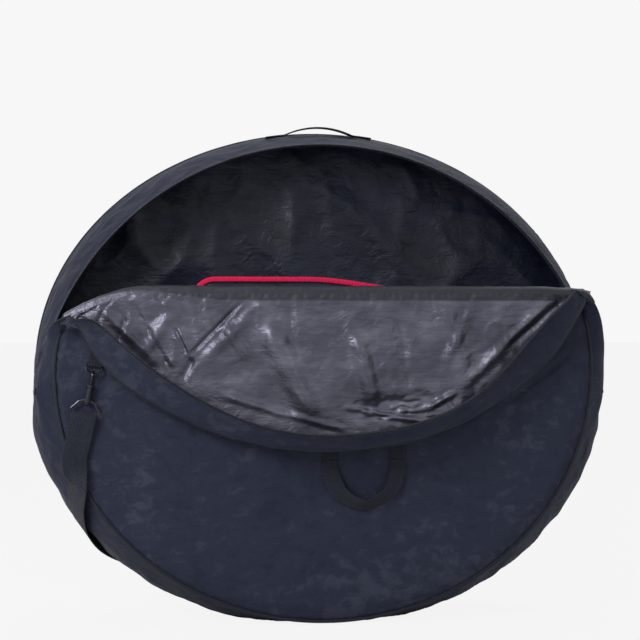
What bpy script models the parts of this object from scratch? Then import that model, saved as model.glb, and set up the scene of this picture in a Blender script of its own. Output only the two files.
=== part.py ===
"""Padded carrying bag for two bicycle wheels, standing up, its front flap unzipped and folded down.

Metres. X runs to the right and Y to the back as the front is looked at, Z is up. The origin is the
middle of the flat patch that the bag stands on. An outline's angle runs clockwise from the top, as
the front is looked at. What the flap carries is drawn where it sits when the bag is closed, and
its parent turns it down over the front.
"""
import math

import bmesh
import bpy
from mathutils import Matrix, Vector

# Body of the bag
bag_depth = 0.190
front_half_width = 0.410
flap_half_width = 0.425
back_half_width = 0.450
half_height = 0.380
centre_height = 0.384
side_bulge = 0.026
base_bulge = 0.016
rear_bulge = 0.006
rim_bulge = 0.003
gusset_wall = 0.0022
seam_gap = 0.0003
weld_distance = 0.00001
piping_radius = 0.0025

# Layers of the padded panels
cover_thickness = 0.0015
foam_thickness = 0.0050
lining_thickness = 0.0010
foam_margin = 0.008
lining_margin = 0.003

# Zip, which runs on a circle round the top of the bag
zip_y = -0.035
zip_radius = 0.445
zip_centre_height = 0.290
zip_end_height = 0.347
tape_width = 0.012
tape_thickness = 0.0010
coil_width = 0.0020
coil_thickness = 0.0020
coil_opening = 0.0024
end_tab_length = 0.011
end_tab_width = 0.018
end_tab_thickness = 0.0012

# Fold of the flap
fold_height = 0.512
fold_radius = 0.010
fold_wall = 0.0035
fold_drop = 0.0092
fold_tuck = math.radians(45)
fold_room = 0.0015

# Zip sliders and their pullers
slider_rest_turn = math.radians(74.3)
slider_length = 0.014
slider_width = 0.009
slider_room = 0.0013
slider_plate = 0.0013
slider_post = 0.0014
slider_post_length = 0.006
bail_pin_radius = 0.0008
bail_pin_height = 0.0028
bail_ear_length = 0.0036
bail_ear_width = 0.0012
bail_inside = 0.0046
puller_length = 0.024
puller_width_at_pin = 0.0040
puller_thickness = 0.0014
puller_eye_radius = 0.0020
puller_clearance = 0.0003

# Divider between the wheels
divider_thickness = 0.005
divider_half_width = 0.190
divider_height = 0.523
divider_corner = 0.028
divider_seat = 0.0019
binding_width = 0.008
binding_thickness = 0.007

# Carrying handles
webbing_thickness = 0.0018
handle_width = 0.025
handle_middle = 0.055
handle_leg_spacing = 0.103
handle_hinge_height = 0.250
handle_drop = 0.0683
handle_leg_share = 0.25
handle_bow = 0.012
handle_bend_share = 0.72
handle_twist = math.radians(48)
anchor_length = 0.030
top_handle_half_length = 0.085
top_handle_rise = 0.010
top_handle_y = 0.052
top_handle_foot = 0.030
top_handle_seat = 0.0006

# Shoulder strap and the hooks on its ends
strap_width = 0.038
strap_tail = 0.034
tail_spread_share = 0.8
strap_stand_off = 0.006
strap_front_run = 0.070
front_run_share = 0.45
strap_wrap_degrees = (116, 142)
wrap_tilt_share = 1.0
wrap_stand_off = 0.012
back_start_share = 0.9
strap_rise = 0.010
knee_x = 0.200
knee_rise_share = 3.5
knee_swing = 0.012
hook_place_x = 0.350
hook_place_height = 0.395
front_lean = math.radians(12)
rear_lean = math.radians(20)
tab_width = 0.020
tab_length = 0.026
tab_folded = 0.0040
tab_stand_off = 0.0039
ring_wire = 0.0015
ring_half_width = 0.012
ring_drop = 0.015
ring_round_share = 0.75
hook_wire = 0.0019
hook_inner = 0.0045
hook_throat = 0.0105
hook_back_turn = math.radians(35)
hook_tip_turn = math.radians(12)
hook_shoulder_share = 0.72
hook_stand_off = 0.0092
barrel_radius = 0.0045
barrel_flange = 0.0062
barrel_flange_height = 0.003
barrel_length = 0.020
stem_radius = 0.0022
stem_head_radius = 0.0038
stem_head_height = 0.002
collar_radius = 0.0058
collar_height = 0.006
running_gap = 0.0003
gate_radius = 0.0012
gate_pivot_rise = 0.0014
gate_foot = 0.0006
eye_wire = 0.0019
eye_drop = 0.019
eye_side_room = 0.0006
eye_shoulder_share = 0.55
glide_length = 0.022
glide_wall = 0.0030
glide_room = 0.0006
glide_side_room = 0.0010
glide_place_share = 0.45

# Lines that the pieces share
front_y = -bag_depth / 2
back_y = bag_depth / 2
gusset_front_y = front_y + 2 * piping_radius + seam_gap
gusset_back_y = back_y - 2 * piping_radius - seam_gap
panel_inset = piping_radius + seam_gap
fold_axis = Vector((0, front_y - fold_radius, fold_height))
zip_centre = Vector((0, zip_y, zip_centre_height))

# How finely curves are drawn, in steps
outline_steps = 56
rim_steps = 36
side_steps = 7
lower_steps = 40
depth_steps = 8
tape_steps = 40
corner_steps = 6
strap_steps = 4
round_sides = 12


def spread(first, last, steps):
    """Evenly spaced numbers from first to last, both included."""
    return [first + (last - first) * step / steps for step in range(steps + 1)]


def ellipse_point(half_width, half_tall, angle):
    """Point (x, z) of a bag outline at an angle from the top."""
    return half_width * math.sin(angle), centre_height + half_tall * math.cos(angle)


def ellipse_angle(half_tall, height):
    """Angle from the top at which an outline has this height."""
    return math.acos((height - centre_height) / half_tall)


def zip_angle(height):
    """Angle from the top at which the zip's circle has this height."""
    return math.acos((height - zip_centre_height) / zip_radius)


fold_angle = ellipse_angle(half_height, fold_height)
end_angle = ellipse_angle(half_height, zip_end_height)
zip_fold_angle = zip_angle(fold_height)
zip_end_angle = zip_angle(zip_end_height)


def clean_scene():
    for thing in list(bpy.data.objects):
        bpy.data.objects.remove(thing, do_unlink=True)


def new_collection(name):
    collection = bpy.data.collections.new(name)
    bpy.context.scene.collection.children.link(collection)
    return collection


clean_scene()
parts = new_collection("wheel_bag")


def paint(name, colour, roughness, metallic=0.0):
    """Principled material in a colour that is given as linear red, green and blue."""
    material = bpy.data.materials.new(name)
    material.use_nodes = True
    shader = material.node_tree.nodes["Principled BSDF"]
    shader.inputs["Base Color"].default_value = (*colour, 1.0)
    shader.inputs["Roughness"].default_value = roughness
    shader.inputs["Metallic"].default_value = metallic
    material.diffuse_color = (*colour, 1.0)
    return material


outer_fabric = paint("outer_fabric", (0.030, 0.034, 0.052), 0.75)
flap_lining_cloth = paint("flap_lining_cloth", (0.080, 0.085, 0.107), 0.45)
inner_lining_cloth = paint("inner_lining_cloth", (0.012, 0.015, 0.025), 0.45)
foam = paint("closed_cell_foam", (0.10, 0.10, 0.11), 0.90)
webbing = paint("webbing", (0.020, 0.023, 0.033), 0.80)
piping_cord = paint("piping_cord", (0.010, 0.012, 0.020), 0.60)
zip_cloth = paint("zip_cloth", (0.010, 0.011, 0.018), 0.60)
red_binding = paint("red_binding", (0.823, 0.003, 0.058), 0.65)
dark_metal = paint("dark_metal", (0.055, 0.056, 0.065), 0.30, 1.0)
black_acetal = paint("black_acetal", (0.012, 0.012, 0.015), 0.40)


def placed(name, data, material, carrier):
    """Object in the bag's collection. A carrier is the empty on whose axis the piece turns."""
    data.materials.append(material)
    piece = bpy.data.objects.new(name, data)
    parts.objects.link(piece)
    if carrier is not None:
        piece.parent = carrier
    return piece


def axis_empty(name, matrix, parent=None):
    """Empty on a joint's axis, which carries the pieces that turn or slide there."""
    empty = bpy.data.objects.new(name, None)
    parts.objects.link(empty)
    empty.parent = parent
    empty.matrix_local = matrix
    return empty


def flat_curve(name, outlines, thickness):
    """Filled 2D curve with an extrude; outlines after the first are holes."""
    curve = bpy.data.curves.new(name, "CURVE")
    curve.dimensions = "2D"
    curve.fill_mode = "BOTH"
    curve.extrude = thickness / 2
    for outline in outlines:
        spline = curve.splines.new("POLY")
        spline.points.add(len(outline) - 1)
        for point, (across, up) in zip(spline.points, outline):
            point.co = (across, up, 0, 1)
        spline.use_cyclic_u = True
    return curve


def plate(name, outlines, low_y, thickness, material, carrier=None, origin=Vector()):
    """Flat piece drawn in X and Z, which fills a thickness of Y upwards from low_y."""
    piece = placed(name, flat_curve(name, outlines, thickness), material, carrier)
    piece.rotation_euler.x = math.pi / 2
    piece.location = Vector((0, low_y + thickness / 2, 0)) - origin
    return piece


def bar(name, outlines, low_x, length, material, carrier=None, origin=Vector()):
    """Piece whose section is drawn in Y and Z, and which runs a length along X."""
    piece = placed(name, flat_curve(name, outlines, length), material, carrier)
    piece.rotation_euler = (math.pi / 2, 0, math.pi / 2)
    piece.location = Vector((low_x + length / 2, 0, 0)) - origin
    return piece


def tube(name, points, radius, material, carrier=None, origin=Vector(), closed=False, rounding=1):
    """Round cord or wire along a line of points."""
    curve = bpy.data.curves.new(name, "CURVE")
    curve.dimensions = "3D"
    curve.bevel_depth = radius
    curve.bevel_resolution = rounding
    curve.use_fill_caps = not closed
    spline = curve.splines.new("POLY")
    spline.points.add(len(points) - 1)
    for point, place in zip(spline.points, points):
        point.co = (*place, 1)
    spline.use_cyclic_u = closed
    piece = placed(name, curve, material, carrier)
    piece.location = -origin
    return piece


def mesh_piece(name, shape, material, carrier=None, origin=Vector()):
    """Object from a bmesh, which is used up."""
    mesh = bpy.data.meshes.new(name)
    bmesh.ops.recalc_face_normals(shape, faces=shape.faces)
    shape.to_mesh(mesh)
    shape.free()
    piece = placed(name, mesh, material, carrier)
    piece.location = -origin
    return piece


def cloth_strip(name, lines, material, carrier=None, origin=Vector()):
    """Open sheet lofted through lines of points, given its wall by Solidify.

    The lines follow each other clockwise round the bag, and each runs from front to back, so the
    faces point out and the wall grows inwards.
    """
    shape = bmesh.new()
    grid = [[shape.verts.new(point) for point in line] for line in lines]
    for line, following in zip(grid, grid[1:]):
        for corner in range(len(line) - 1):
            shape.faces.new((line[corner], following[corner], following[corner + 1], line[corner + 1]))
    mesh = bpy.data.meshes.new(name)
    shape.to_mesh(mesh)
    shape.free()
    mesh.shade_smooth()
    piece = placed(name, mesh, material, carrier)
    piece.location = -origin
    wall = piece.modifiers.new("wall", "SOLIDIFY")
    wall.thickness = gusset_wall
    wall.offset = -1
    return piece


def ribbon(name, stations, width, thickness, material, carrier=None, origin=Vector()):
    """Flat webbing. Each station is a middle point, the way along and the way that its face looks."""
    shape = bmesh.new()
    sections = []
    for middle, along, face in stations:
        across = along.cross(face).normalized() * width / 2
        out = face.normalized() * thickness / 2
        corners = (middle + across + out, middle + across - out, middle - across - out, middle - across + out)
        sections.append([shape.verts.new(corner) for corner in corners])
    shape.faces.new(sections[0])
    shape.faces.new(sections[-1])
    for section, following in zip(sections, sections[1:]):
        for corner in range(len(section)):
            after = (corner + 1) % len(section)
            shape.faces.new((section[corner], section[after], following[after], following[corner]))
    return mesh_piece(name, shape, material, carrier, origin)


def smooth_line(points, steps):
    """Points of a smooth curve through the given points, with the same number of steps between each."""
    line = []
    padded = [2 * points[0] - points[1], *points, 2 * points[-1] - points[-2]]
    for before, first, second, after in zip(padded, padded[1:], padded[2:], padded[3:]):
        for step in range(steps):
            share = step / steps
            slope_in = (second - before) / 2
            slope_out = (after - first) / 2
            rise = share * share * (3 - 2 * share)
            line.append(first * (1 - rise) + second * rise
                        + slope_in * share * (1 - share) ** 2 - slope_out * share ** 2 * (1 - share))
    line.append(points[-1])
    return line


def stations_along(points, faces):
    """Stations for a ribbon, with the way along taken from the neighbouring points."""
    stations = []
    for place, (point, face) in enumerate(zip(points, faces)):
        before = points[max(place - 1, 0)]
        after = points[min(place + 1, len(points) - 1)]
        along = (after - before).normalized()
        stations.append((point, along, face - along * face.dot(along)))
    return stations


# Outlines of the padded panels
def panel_outline(half_width, first_angle, last_angle, steps, inset=panel_inset):
    """Points of a panel's outline, set in from the piping."""
    return [ellipse_point(half_width - inset, half_height - inset, angle)
            for angle in spread(first_angle, last_angle, steps)]


def cut_angle(height, inset=panel_inset):
    """Angle at which an inset outline crosses a level."""
    return ellipse_angle(half_height - inset, height)


def back_panel():
    """Closed round panel of the back: cover, foam and lining."""
    full = panel_outline(back_half_width, 0, 2 * math.pi, outline_steps)[:-1]
    foam_outline = panel_outline(back_half_width, 0, 2 * math.pi, outline_steps, panel_inset + foam_margin)[:-1]
    lining = panel_outline(back_half_width, 0, 2 * math.pi, outline_steps, panel_inset + lining_margin)[:-1]
    cover_y = back_y - cover_thickness
    foam_y = cover_y - seam_gap - foam_thickness
    plate("back_panel", [full], cover_y, cover_thickness, outer_fabric)
    plate("back_panel_foam", [foam_outline], foam_y, foam_thickness, foam)
    plate("back_panel_lining", [lining], foam_y - seam_gap - lining_thickness, lining_thickness,
          inner_lining_cloth)


foam_low_y = front_y + cover_thickness + seam_gap
lining_low_y = foam_low_y + foam_thickness + seam_gap


def front_panel():
    """Lower part of the front, up to the line where the flap folds."""
    def lower(height, inset):
        first = cut_angle(height, inset)
        return panel_outline(front_half_width, first, 2 * math.pi - first, lower_steps, inset)
    top = fold_height - seam_gap
    cover = lower(top, panel_inset)
    padding = lower(top - foam_margin, panel_inset + foam_margin)
    lining = lower(top, panel_inset + lining_margin)
    plate("front_panel", [cover], front_y, cover_thickness, outer_fabric)
    plate("front_panel_foam", [padding], foam_low_y, foam_thickness, foam)
    plate("front_panel_lining", [lining], lining_low_y, lining_thickness, inner_lining_cloth)


def fold_roll():
    """Unpadded hinge of cloth, rolled over the fold's axis. The flap's edge slides round it."""
    outline = []
    for radius, turn in ((fold_radius, spread(0, math.pi + fold_tuck, round_sides)),
                         (fold_radius + fold_wall, spread(math.pi + fold_tuck, 0, round_sides))):
        outline += [(fold_axis.y + radius * math.cos(angle), fold_axis.z + radius * math.sin(angle))
                    for angle in turn]
    reach = front_half_width * math.sin(fold_angle) - panel_inset
    bar("fold_roll", [outline], -reach, 2 * reach, outer_fabric)


def front_edge(half_width, angle):
    """Point of the gusset's front edge, just behind the front piping."""
    x, z = ellipse_point(half_width, half_height, angle)
    return Vector((x, gusset_front_y, z))


def zip_point(angle, y):
    """Point of the zip's circle at an angle from the top."""
    return Vector((zip_radius * math.sin(angle), y, zip_centre_height + zip_radius * math.cos(angle)))


def bowed_line(first, last, bulge, steps):
    """Line of points from first to last, bowed away from the middle of the bag."""
    out = Vector((first.x + last.x, 0, first.z + last.z - 2 * centre_height)).normalized()
    return [first.lerp(last, share) + out * bulge * math.sin(math.pi * share)
            for share in spread(0, 1, steps)]


def lower_surface(angle, y):
    """Point of the full-depth gusset below the zip. The base is pressed flat on the ground."""
    share = (y - gusset_front_y) / (gusset_back_y - gusset_front_y)
    swell = math.sin(math.pi * share)
    half_width = front_half_width + (back_half_width - front_half_width) * share + side_bulge * swell
    x, z = ellipse_point(half_width, half_height + base_bulge * swell, angle)
    return Vector((x, y, max(z, 0)))


def lower_gusset():
    first = end_angle + seam_gap / half_height
    lines = [[lower_surface(angle, y) for y in spread(gusset_front_y, gusset_back_y, depth_steps)]
             for angle in spread(first, 2 * math.pi - first, lower_steps)]
    cloth_strip("lower_gusset", lines, outer_fabric)


front_tape_y = zip_y - coil_opening / 2 - tape_width
rear_tape_y = zip_y + coil_opening / 2


def rear_gusset():
    """Band of the back half above the zip's ends, which the zip pulls inwards at the top."""
    lines = []
    for share in spread(-1, 1, rim_steps):
        first = zip_point(zip_end_angle * share, rear_tape_y + tape_width + seam_gap)
        x, z = ellipse_point(back_half_width, half_height, end_angle * share)
        lines.append(bowed_line(first, Vector((x, gusset_back_y, z)), rear_bulge, depth_steps // 2))
    cloth_strip("rear_gusset", lines, outer_fabric)


def side_gusset(name, side):
    """Short band of the front half between the zip's end and the fold."""
    lines = []
    shares = spread(0, 1, side_steps)
    for share in (shares if side > 0 else reversed(shares)):
        ellipse_turn = fold_angle + (end_angle - fold_angle) * share
        zip_turn = zip_fold_angle + (zip_end_angle - zip_fold_angle) * share
        first = front_edge(front_half_width, side * ellipse_turn)
        last = zip_point(side * zip_turn, front_tape_y - seam_gap)
        lines.append(bowed_line(first, last, rim_bulge, depth_steps // 2))
    cloth_strip(name, lines, outer_fabric)


def flap_gusset(carrier):
    """Rim of the flap, the front half of the gusset with the zip on its free edge."""
    raise_by = fold_room / half_height
    lines = []
    for share in spread(-1, 1, rim_steps):
        first = front_edge(flap_half_width, (fold_angle - raise_by) * share)
        last = zip_point((zip_fold_angle - raise_by) * share, front_tape_y - seam_gap)
        lines.append(bowed_line(first, last, rim_bulge, depth_steps // 2))
    cloth_strip("flap_gusset", lines, outer_fabric, carrier, fold_axis)


def zip_tape(name, first_angle, last_angle, low_y, coil_side, steps, carrier=None, origin=Vector()):
    """Half of the zip: a woven tape with the coil on one edge, turned round the zip's centre."""
    thin = tape_thickness / 2
    thick = coil_thickness / 2
    coil_edge = 0 if coil_side < 0 else tape_width
    coil_inner = coil_width if coil_side < 0 else tape_width - coil_width
    plain_edge = tape_width if coil_side < 0 else 0
    outline = [(plain_edge, -thin), (coil_inner, -thin), (coil_inner, -thick), (coil_edge, -thick),
               (coil_edge, thick), (coil_inner, thick), (coil_inner, thin), (plain_edge, thin)]
    shape = bmesh.new()
    corners = [shape.verts.new((0, low_y + along, zip_centre_height + zip_radius + out))
               for along, out in outline]
    face = shape.faces.new(corners)
    bmesh.ops.rotate(shape, verts=shape.verts, cent=zip_centre, matrix=Matrix.Rotation(first_angle, 3, "Y"))
    bmesh.ops.spin(shape, geom=[face, *face.edges, *face.verts], cent=zip_centre, axis=(0, 1, 0),
                   angle=last_angle - first_angle, steps=steps, use_duplicate=False)
    return mesh_piece(name, shape, zip_cloth, carrier, origin)


def zips(carrier):
    """Rear half in one length, front half in three: two short sides and the flap's own length."""
    tilt = seam_gap / zip_radius
    end = zip_end_angle
    zip_tape("rear_zip_tape", -end, end, rear_tape_y, -1, tape_steps)
    zip_tape("flap_zip_tape", -zip_fold_angle + tilt, zip_fold_angle - tilt, front_tape_y, 1,
             tape_steps, carrier, fold_axis)
    for name, side in (("left", -1), ("right", 1)):
        first, last = sorted((side * zip_fold_angle, side * end))
        zip_tape("side_zip_tape_" + name, first, last, front_tape_y, 1, side_steps)


def box(low, high, bevel=0.0):
    """Bmesh of a block between two corners."""
    shape = bmesh.new()
    bmesh.ops.create_cube(shape, size=1)
    low, high = Vector(low), Vector(high)
    size = high - low
    bmesh.ops.scale(shape, vec=size, verts=shape.verts)
    bmesh.ops.translate(shape, vec=(low + high) / 2, verts=shape.verts)
    if bevel:
        bmesh.ops.bevel(shape, geom=shape.edges[:], offset=bevel, segments=1, affect="EDGES")
    return shape


def zip_end_tabs():
    """Cloth tabs sewn over both zip tapes at the zip's ends."""
    for name, side in (("left", -1), ("right", 1)):
        seat = zip_radius + coil_thickness / 2 + seam_gap
        shape = box((-end_tab_length / 2, -end_tab_width / 2, seat),
                    (end_tab_length / 2, end_tab_width / 2, seat + end_tab_thickness))
        middle = zip_end_angle - end_tab_length / 2 / zip_radius
        tab = mesh_piece("zip_end_tab_" + name, shape, webbing)
        tab.location = zip_centre
        tab.rotation_euler.y = side * middle


def panel_piping():
    """Corded seams round the panels: the back, the front below the fold, and the flap."""
    def line(half_width, first, last, steps, y):
        points = [ellipse_point(half_width, half_height, angle) for angle in spread(first, last, steps)]
        return [Vector((x, y, z)) for x, z in points]
    front_line_y = front_y + piping_radius
    back = line(back_half_width, 0, 2 * math.pi, outline_steps, back_y - piping_radius)[:-1]
    tube("back_piping", back, piping_radius, piping_cord, closed=True)
    lower = line(front_half_width, fold_angle, 2 * math.pi - fold_angle, lower_steps, front_line_y)
    tube("front_piping", lower, piping_radius, piping_cord)


def flap(carrier):
    """Upper part of the front, which unzips and folds down."""
    def upper(height, inset):
        reach = cut_angle(height, inset)
        return panel_outline(flap_half_width, -reach, reach, rim_steps, inset)
    start = fold_height + fold_drop + seam_gap
    cover = upper(start, panel_inset)
    padding = upper(start + foam_margin, panel_inset + foam_margin)
    lining = upper(start, panel_inset + lining_margin)
    plate("flap_panel", [cover], front_y, cover_thickness, outer_fabric, carrier, fold_axis)
    plate("flap_foam", [padding], foam_low_y, foam_thickness, foam, carrier, fold_axis)
    plate("flap_lining", [lining], lining_low_y, lining_thickness, flap_lining_cloth, carrier, fold_axis)
    reach = ellipse_angle(half_height, start)
    points = [ellipse_point(flap_half_width, half_height, angle) for angle in spread(-reach, reach, rim_steps)]
    cord = [Vector((x, front_y + piping_radius, z)) for x, z in points]
    tube("flap_piping", cord, piping_radius, piping_cord, carrier, fold_axis)


def divider_outline(inset):
    """Outline of the divider: its foot follows the inside of the gusset, its top corners are round."""
    half = divider_half_width - inset
    corner = divider_corner - inset
    middle = lower_surface(math.pi / 2, 0).x - gusset_wall - divider_seat
    tall = half_height + base_bulge - gusset_wall - divider_seat
    floor = gusset_wall + divider_seat
    reach = math.asin(half / middle)
    foot = [ellipse_point(middle, tall, math.pi - turn) for turn in spread(-reach, reach, lower_steps // 2)]
    points = [(x, max(z, floor)) for x, z in foot]
    for side, turns in ((1, spread(0, math.pi / 2, corner_steps)), (-1, spread(math.pi / 2, 0, corner_steps))):
        points += [(side * (half - corner + corner * math.cos(turn)),
                    divider_height - inset - corner + corner * math.sin(turn)) for turn in turns]
    return points


def divider():
    """Flat padded divider between the wheels, bound with red tape along its top and sides."""
    inner = divider_outline(binding_width)
    feet = lower_steps // 2
    plate("divider_panel", [inner], -divider_thickness / 2, divider_thickness, inner_lining_cloth)
    outer = divider_outline(0)[feet:] + divider_outline(0)[:1]
    frame = divider_outline(binding_width - seam_gap)[feet:] + divider_outline(binding_width - seam_gap)[:1]
    plate("divider_binding", [outer + frame[::-1]], -binding_thickness / 2, binding_thickness, red_binding)


def front_handle():
    """Webbing loop that hangs from two sewn anchors on the front."""
    face_y = front_y - seam_gap - webbing_thickness / 2
    hinge = Vector((handle_middle, face_y, handle_hinge_height))
    carrier = axis_empty("handle_axis", Matrix.Translation(hinge))
    half = handle_leg_spacing / 2
    for name, side in (("left", -1), ("right", 1)):
        middle = handle_middle + side * half
        shape = box((middle - handle_width / 2, face_y - webbing_thickness / 2,
                     handle_hinge_height + webbing_thickness / 2),
                    (middle + handle_width / 2, face_y + webbing_thickness / 2,
                     handle_hinge_height + anchor_length))
        mesh_piece("handle_anchor_" + name, shape, webbing)
    route = [Vector((-half, 0, 0)), Vector((-half, -handle_bow * handle_leg_share, -handle_drop * handle_leg_share)),
             Vector((-half * handle_bend_share, -handle_bow, -handle_drop * handle_bend_share)),
             Vector((0, -handle_bow, -handle_drop))]
    route += [Vector((-point.x, point.y, point.z)) for point in reversed(route[:-1])]
    line = smooth_line(route, corner_steps // 2)
    faces = []
    for place in range(len(line)):
        twist = math.sin(math.pi * place / (len(line) - 1)) ** 2 * handle_twist
        faces.append(Vector((0, -math.cos(twist), -math.sin(twist))))
    stations = stations_along(line, faces)
    stations[0] = (stations[0][0], Vector((0, 0, -1)), faces[0])
    stations[-1] = (stations[-1][0], Vector((0, 0, 1)), faces[-1])
    ribbon("front_handle", stations, handle_width, webbing_thickness, webbing, carrier)


def rear_surface(x, y):
    """Height of the rear gusset's outer face near the top of the bag."""
    angle = math.asin(x / back_half_width)
    first = zip_point(zip_end_angle * angle / end_angle, rear_tape_y + tape_width)
    last_x, last_z = ellipse_point(back_half_width, half_height, angle)
    share = (y - first.y) / (gusset_back_y - first.y)
    return first.z + (last_z - first.z) * share + rear_bulge * math.sin(math.pi * share)


def top_handle():
    """Low webbing grab handle, sewn flat at both ends to the top of the rear gusset."""
    lift = webbing_thickness / 2 + top_handle_seat
    points = []
    for share in spread(-1, 1, 2 * corner_steps):
        x = top_handle_half_length * share
        foot_share = top_handle_foot / top_handle_half_length
        arch = max(0.0, 1 - (abs(share) / (1 - foot_share)) ** 2)
        points.append(Vector((x, top_handle_y, rear_surface(x, top_handle_y) + lift + top_handle_rise * arch)))
    slope = rear_surface(0, top_handle_y + handle_width) - rear_surface(0, top_handle_y)
    face = Vector((0, -slope, handle_width)).normalized()
    ribbon("top_handle", stations_along(points, [face] * len(points)), handle_width, webbing_thickness, webbing)


def joined(name, pieces, material, carrier=None):
    """Rigid piece made of several solids, which Boolean unions join into one body."""
    first, others = pieces[0], pieces[1:]
    for other in others:
        union = first.modifiers.new("join", "BOOLEAN")
        union.operation = "UNION"
        union.object = other
    bpy.context.view_layer.update()
    evaluated = first.evaluated_get(bpy.context.evaluated_depsgraph_get())
    mesh = bpy.data.meshes.new_from_object(evaluated)
    for piece in pieces:
        bpy.data.objects.remove(piece, do_unlink=True)
    mesh.materials.clear()
    return placed(name, mesh, material, carrier)


def welded(piece):
    """Mesh copy of a curve object, its caps joined to its sides."""
    bpy.context.view_layer.update()
    evaluated = piece.evaluated_get(bpy.context.evaluated_depsgraph_get())
    mesh = bpy.data.meshes.new_from_object(evaluated)
    shape = bmesh.new()
    shape.from_mesh(mesh)
    bmesh.ops.remove_doubles(shape, verts=shape.verts, dist=weld_distance)
    shape.to_mesh(mesh)
    shape.free()
    copy = bpy.data.objects.new(piece.name + "_mesh", mesh)
    parts.objects.link(copy)
    copy.matrix_world = piece.matrix_world
    bpy.data.objects.remove(piece, do_unlink=True)
    return copy


def turned(name, profile, material, steps=round_sides):
    """Solid of revolution about Z from a closed profile of (radius, height), top to bottom outside."""
    shape = bmesh.new()
    corners = [shape.verts.new((radius, 0, height)) for radius, height in profile]
    for corner, following in zip(corners, corners[1:]):
        shape.edges.new((corner, following))
    if profile[0][0]:
        shape.edges.new((corners[-1], corners[0]))
    mesh = bpy.data.meshes.new(name)
    shape.to_mesh(mesh)
    shape.free()
    piece = placed(name, mesh, material, None)
    screw = piece.modifiers.new("turn", "SCREW")
    screw.steps = steps
    screw.render_steps = steps
    screw.use_merge_vertices = True
    screw.merge_threshold = weld_distance
    return piece


ring_lean = math.asin((hook_stand_off - tab_stand_off) / ring_drop)
barrel_top = -ring_drop * math.cos(ring_lean) - ring_wire - hook_inner - hook_throat
barrel_bottom = barrel_top - barrel_length
collar_top = barrel_bottom - running_gap
collar_bottom = collar_top - collar_height
eye_bar_height = collar_bottom - eye_drop
hook_middle = -ring_drop * math.cos(ring_lean) + ring_wire + running_gap - hook_inner


def ring_tab(name, carrier):
    """Webbing tab folded round the straight bar of the D-ring and sewn to the panel."""
    inner = ring_wire + running_gap
    outer = inner + webbing_thickness
    middle = -tab_stand_off
    turn = spread(0, math.pi, round_sides)
    loop = [(middle + outer * math.cos(a), -outer * math.sin(a)) for a in turn]
    outline = [*loop, (middle - outer, outer / 2), (middle + outer - tab_folded, tab_length),
               (middle + outer, tab_length)]
    hole = [(middle + inner * math.cos(a), inner * math.sin(a)) for a in spread(0, 2 * math.pi, round_sides)[:-1]]
    tab = bar(name, [outline, hole], -tab_width / 2, tab_width, webbing)
    tab.parent = carrier


def d_ring(name, carrier):
    """Wire D-ring whose straight bar turns in the tab."""
    turn = spread(0, math.pi, round_sides)
    shoulder = ring_drop - ring_half_width * ring_round_share
    loop = [Vector((-ring_half_width, 0, 0)), Vector((ring_half_width, 0, 0))]
    loop += [Vector((ring_half_width * math.cos(a), 0,
                     -shoulder - ring_half_width * ring_round_share * math.sin(a))) for a in turn]
    tube(name, loop, ring_wire, dark_metal, carrier, closed=True)


def snap_hook(name, carrier):
    """Hook with its swivel barrel, stem and stem head, cast and turned as one piece."""
    path_radius = hook_inner + hook_wire
    curl = [Vector((0, 0, barrel_top - barrel_flange_height / 2))]
    curl.append(Vector((0, path_radius * hook_shoulder_share, barrel_top + hook_wire)))
    curl += [Vector((0, path_radius * math.cos(a), hook_middle + path_radius * math.sin(a)))
             for a in spread(-hook_back_turn, math.pi + hook_tip_turn, round_sides)]
    bend = welded(tube(name + "_bend", curl, hook_wire, dark_metal, rounding=2))
    stem_end = collar_bottom - running_gap
    profile = [(0, barrel_top), (barrel_flange, barrel_top), (barrel_flange, barrel_top - barrel_flange_height),
               (barrel_radius, barrel_top - 2 * barrel_flange_height), (barrel_radius, barrel_bottom),
               (stem_radius, barrel_bottom), (stem_radius, stem_end), (stem_head_radius, stem_end),
               (stem_head_radius, stem_end - stem_head_height), (0, stem_end - stem_head_height)]
    barrel = turned(name + "_barrel", profile, dark_metal)
    joined(name, [barrel, bend], dark_metal, carrier)


def hook_gate(name, carrier):
    """Sprung bar that closes the hook's mouth and opens inwards."""
    tip_turn = math.pi + hook_tip_turn
    tip = hook_middle + (hook_inner + hook_wire) * math.sin(tip_turn) - hook_wire - running_gap
    rise = tip - barrel_top - gate_pivot_rise
    tube(name, [Vector((0, 0, -gate_foot)), Vector((0, 0, rise))], gate_radius, dark_metal, carrier, rounding=2)


def strap_eye(name, carrier):
    """Collar that the hook's stem turns in, with the wire eye that holds the strap."""
    inner = stem_radius + running_gap
    ring = [(inner, collar_bottom), (inner, collar_top), (collar_radius, collar_top),
            (collar_radius, collar_bottom)]
    collar = turned(name + "_collar", ring, dark_metal)
    half = strap_width / 2 + eye_side_room + eye_wire
    neck = (inner + collar_radius) / 2
    side = [Vector((neck, 0, collar_bottom + collar_height / 2)), Vector((half * eye_shoulder_share, 0, collar_bottom)),
            Vector((half, 0, eye_bar_height + eye_drop / 3)), Vector((half - eye_wire / 2, 0, eye_bar_height))]
    wire = side + [Vector((-point.x, 0, point.z)) for point in reversed(side)]
    loop = welded(tube(name + "_wire", wire, eye_wire, dark_metal, rounding=2))
    joined(name, [collar, loop], dark_metal, carrier)


def strap_frames():
    """Places of the two strap ends: left on the front, right on the back."""
    front = Matrix.Translation((-hook_place_x, front_y, hook_place_height)) @ Matrix.Rotation(front_lean, 4, "Y")
    back = (Matrix.Translation((hook_place_x, back_y, hook_place_height)) @ Matrix.Rotation(math.pi, 4, "Z")
            @ Matrix.Rotation(-rear_lean, 4, "Y"))
    return (("left", front), ("right", back))


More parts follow.
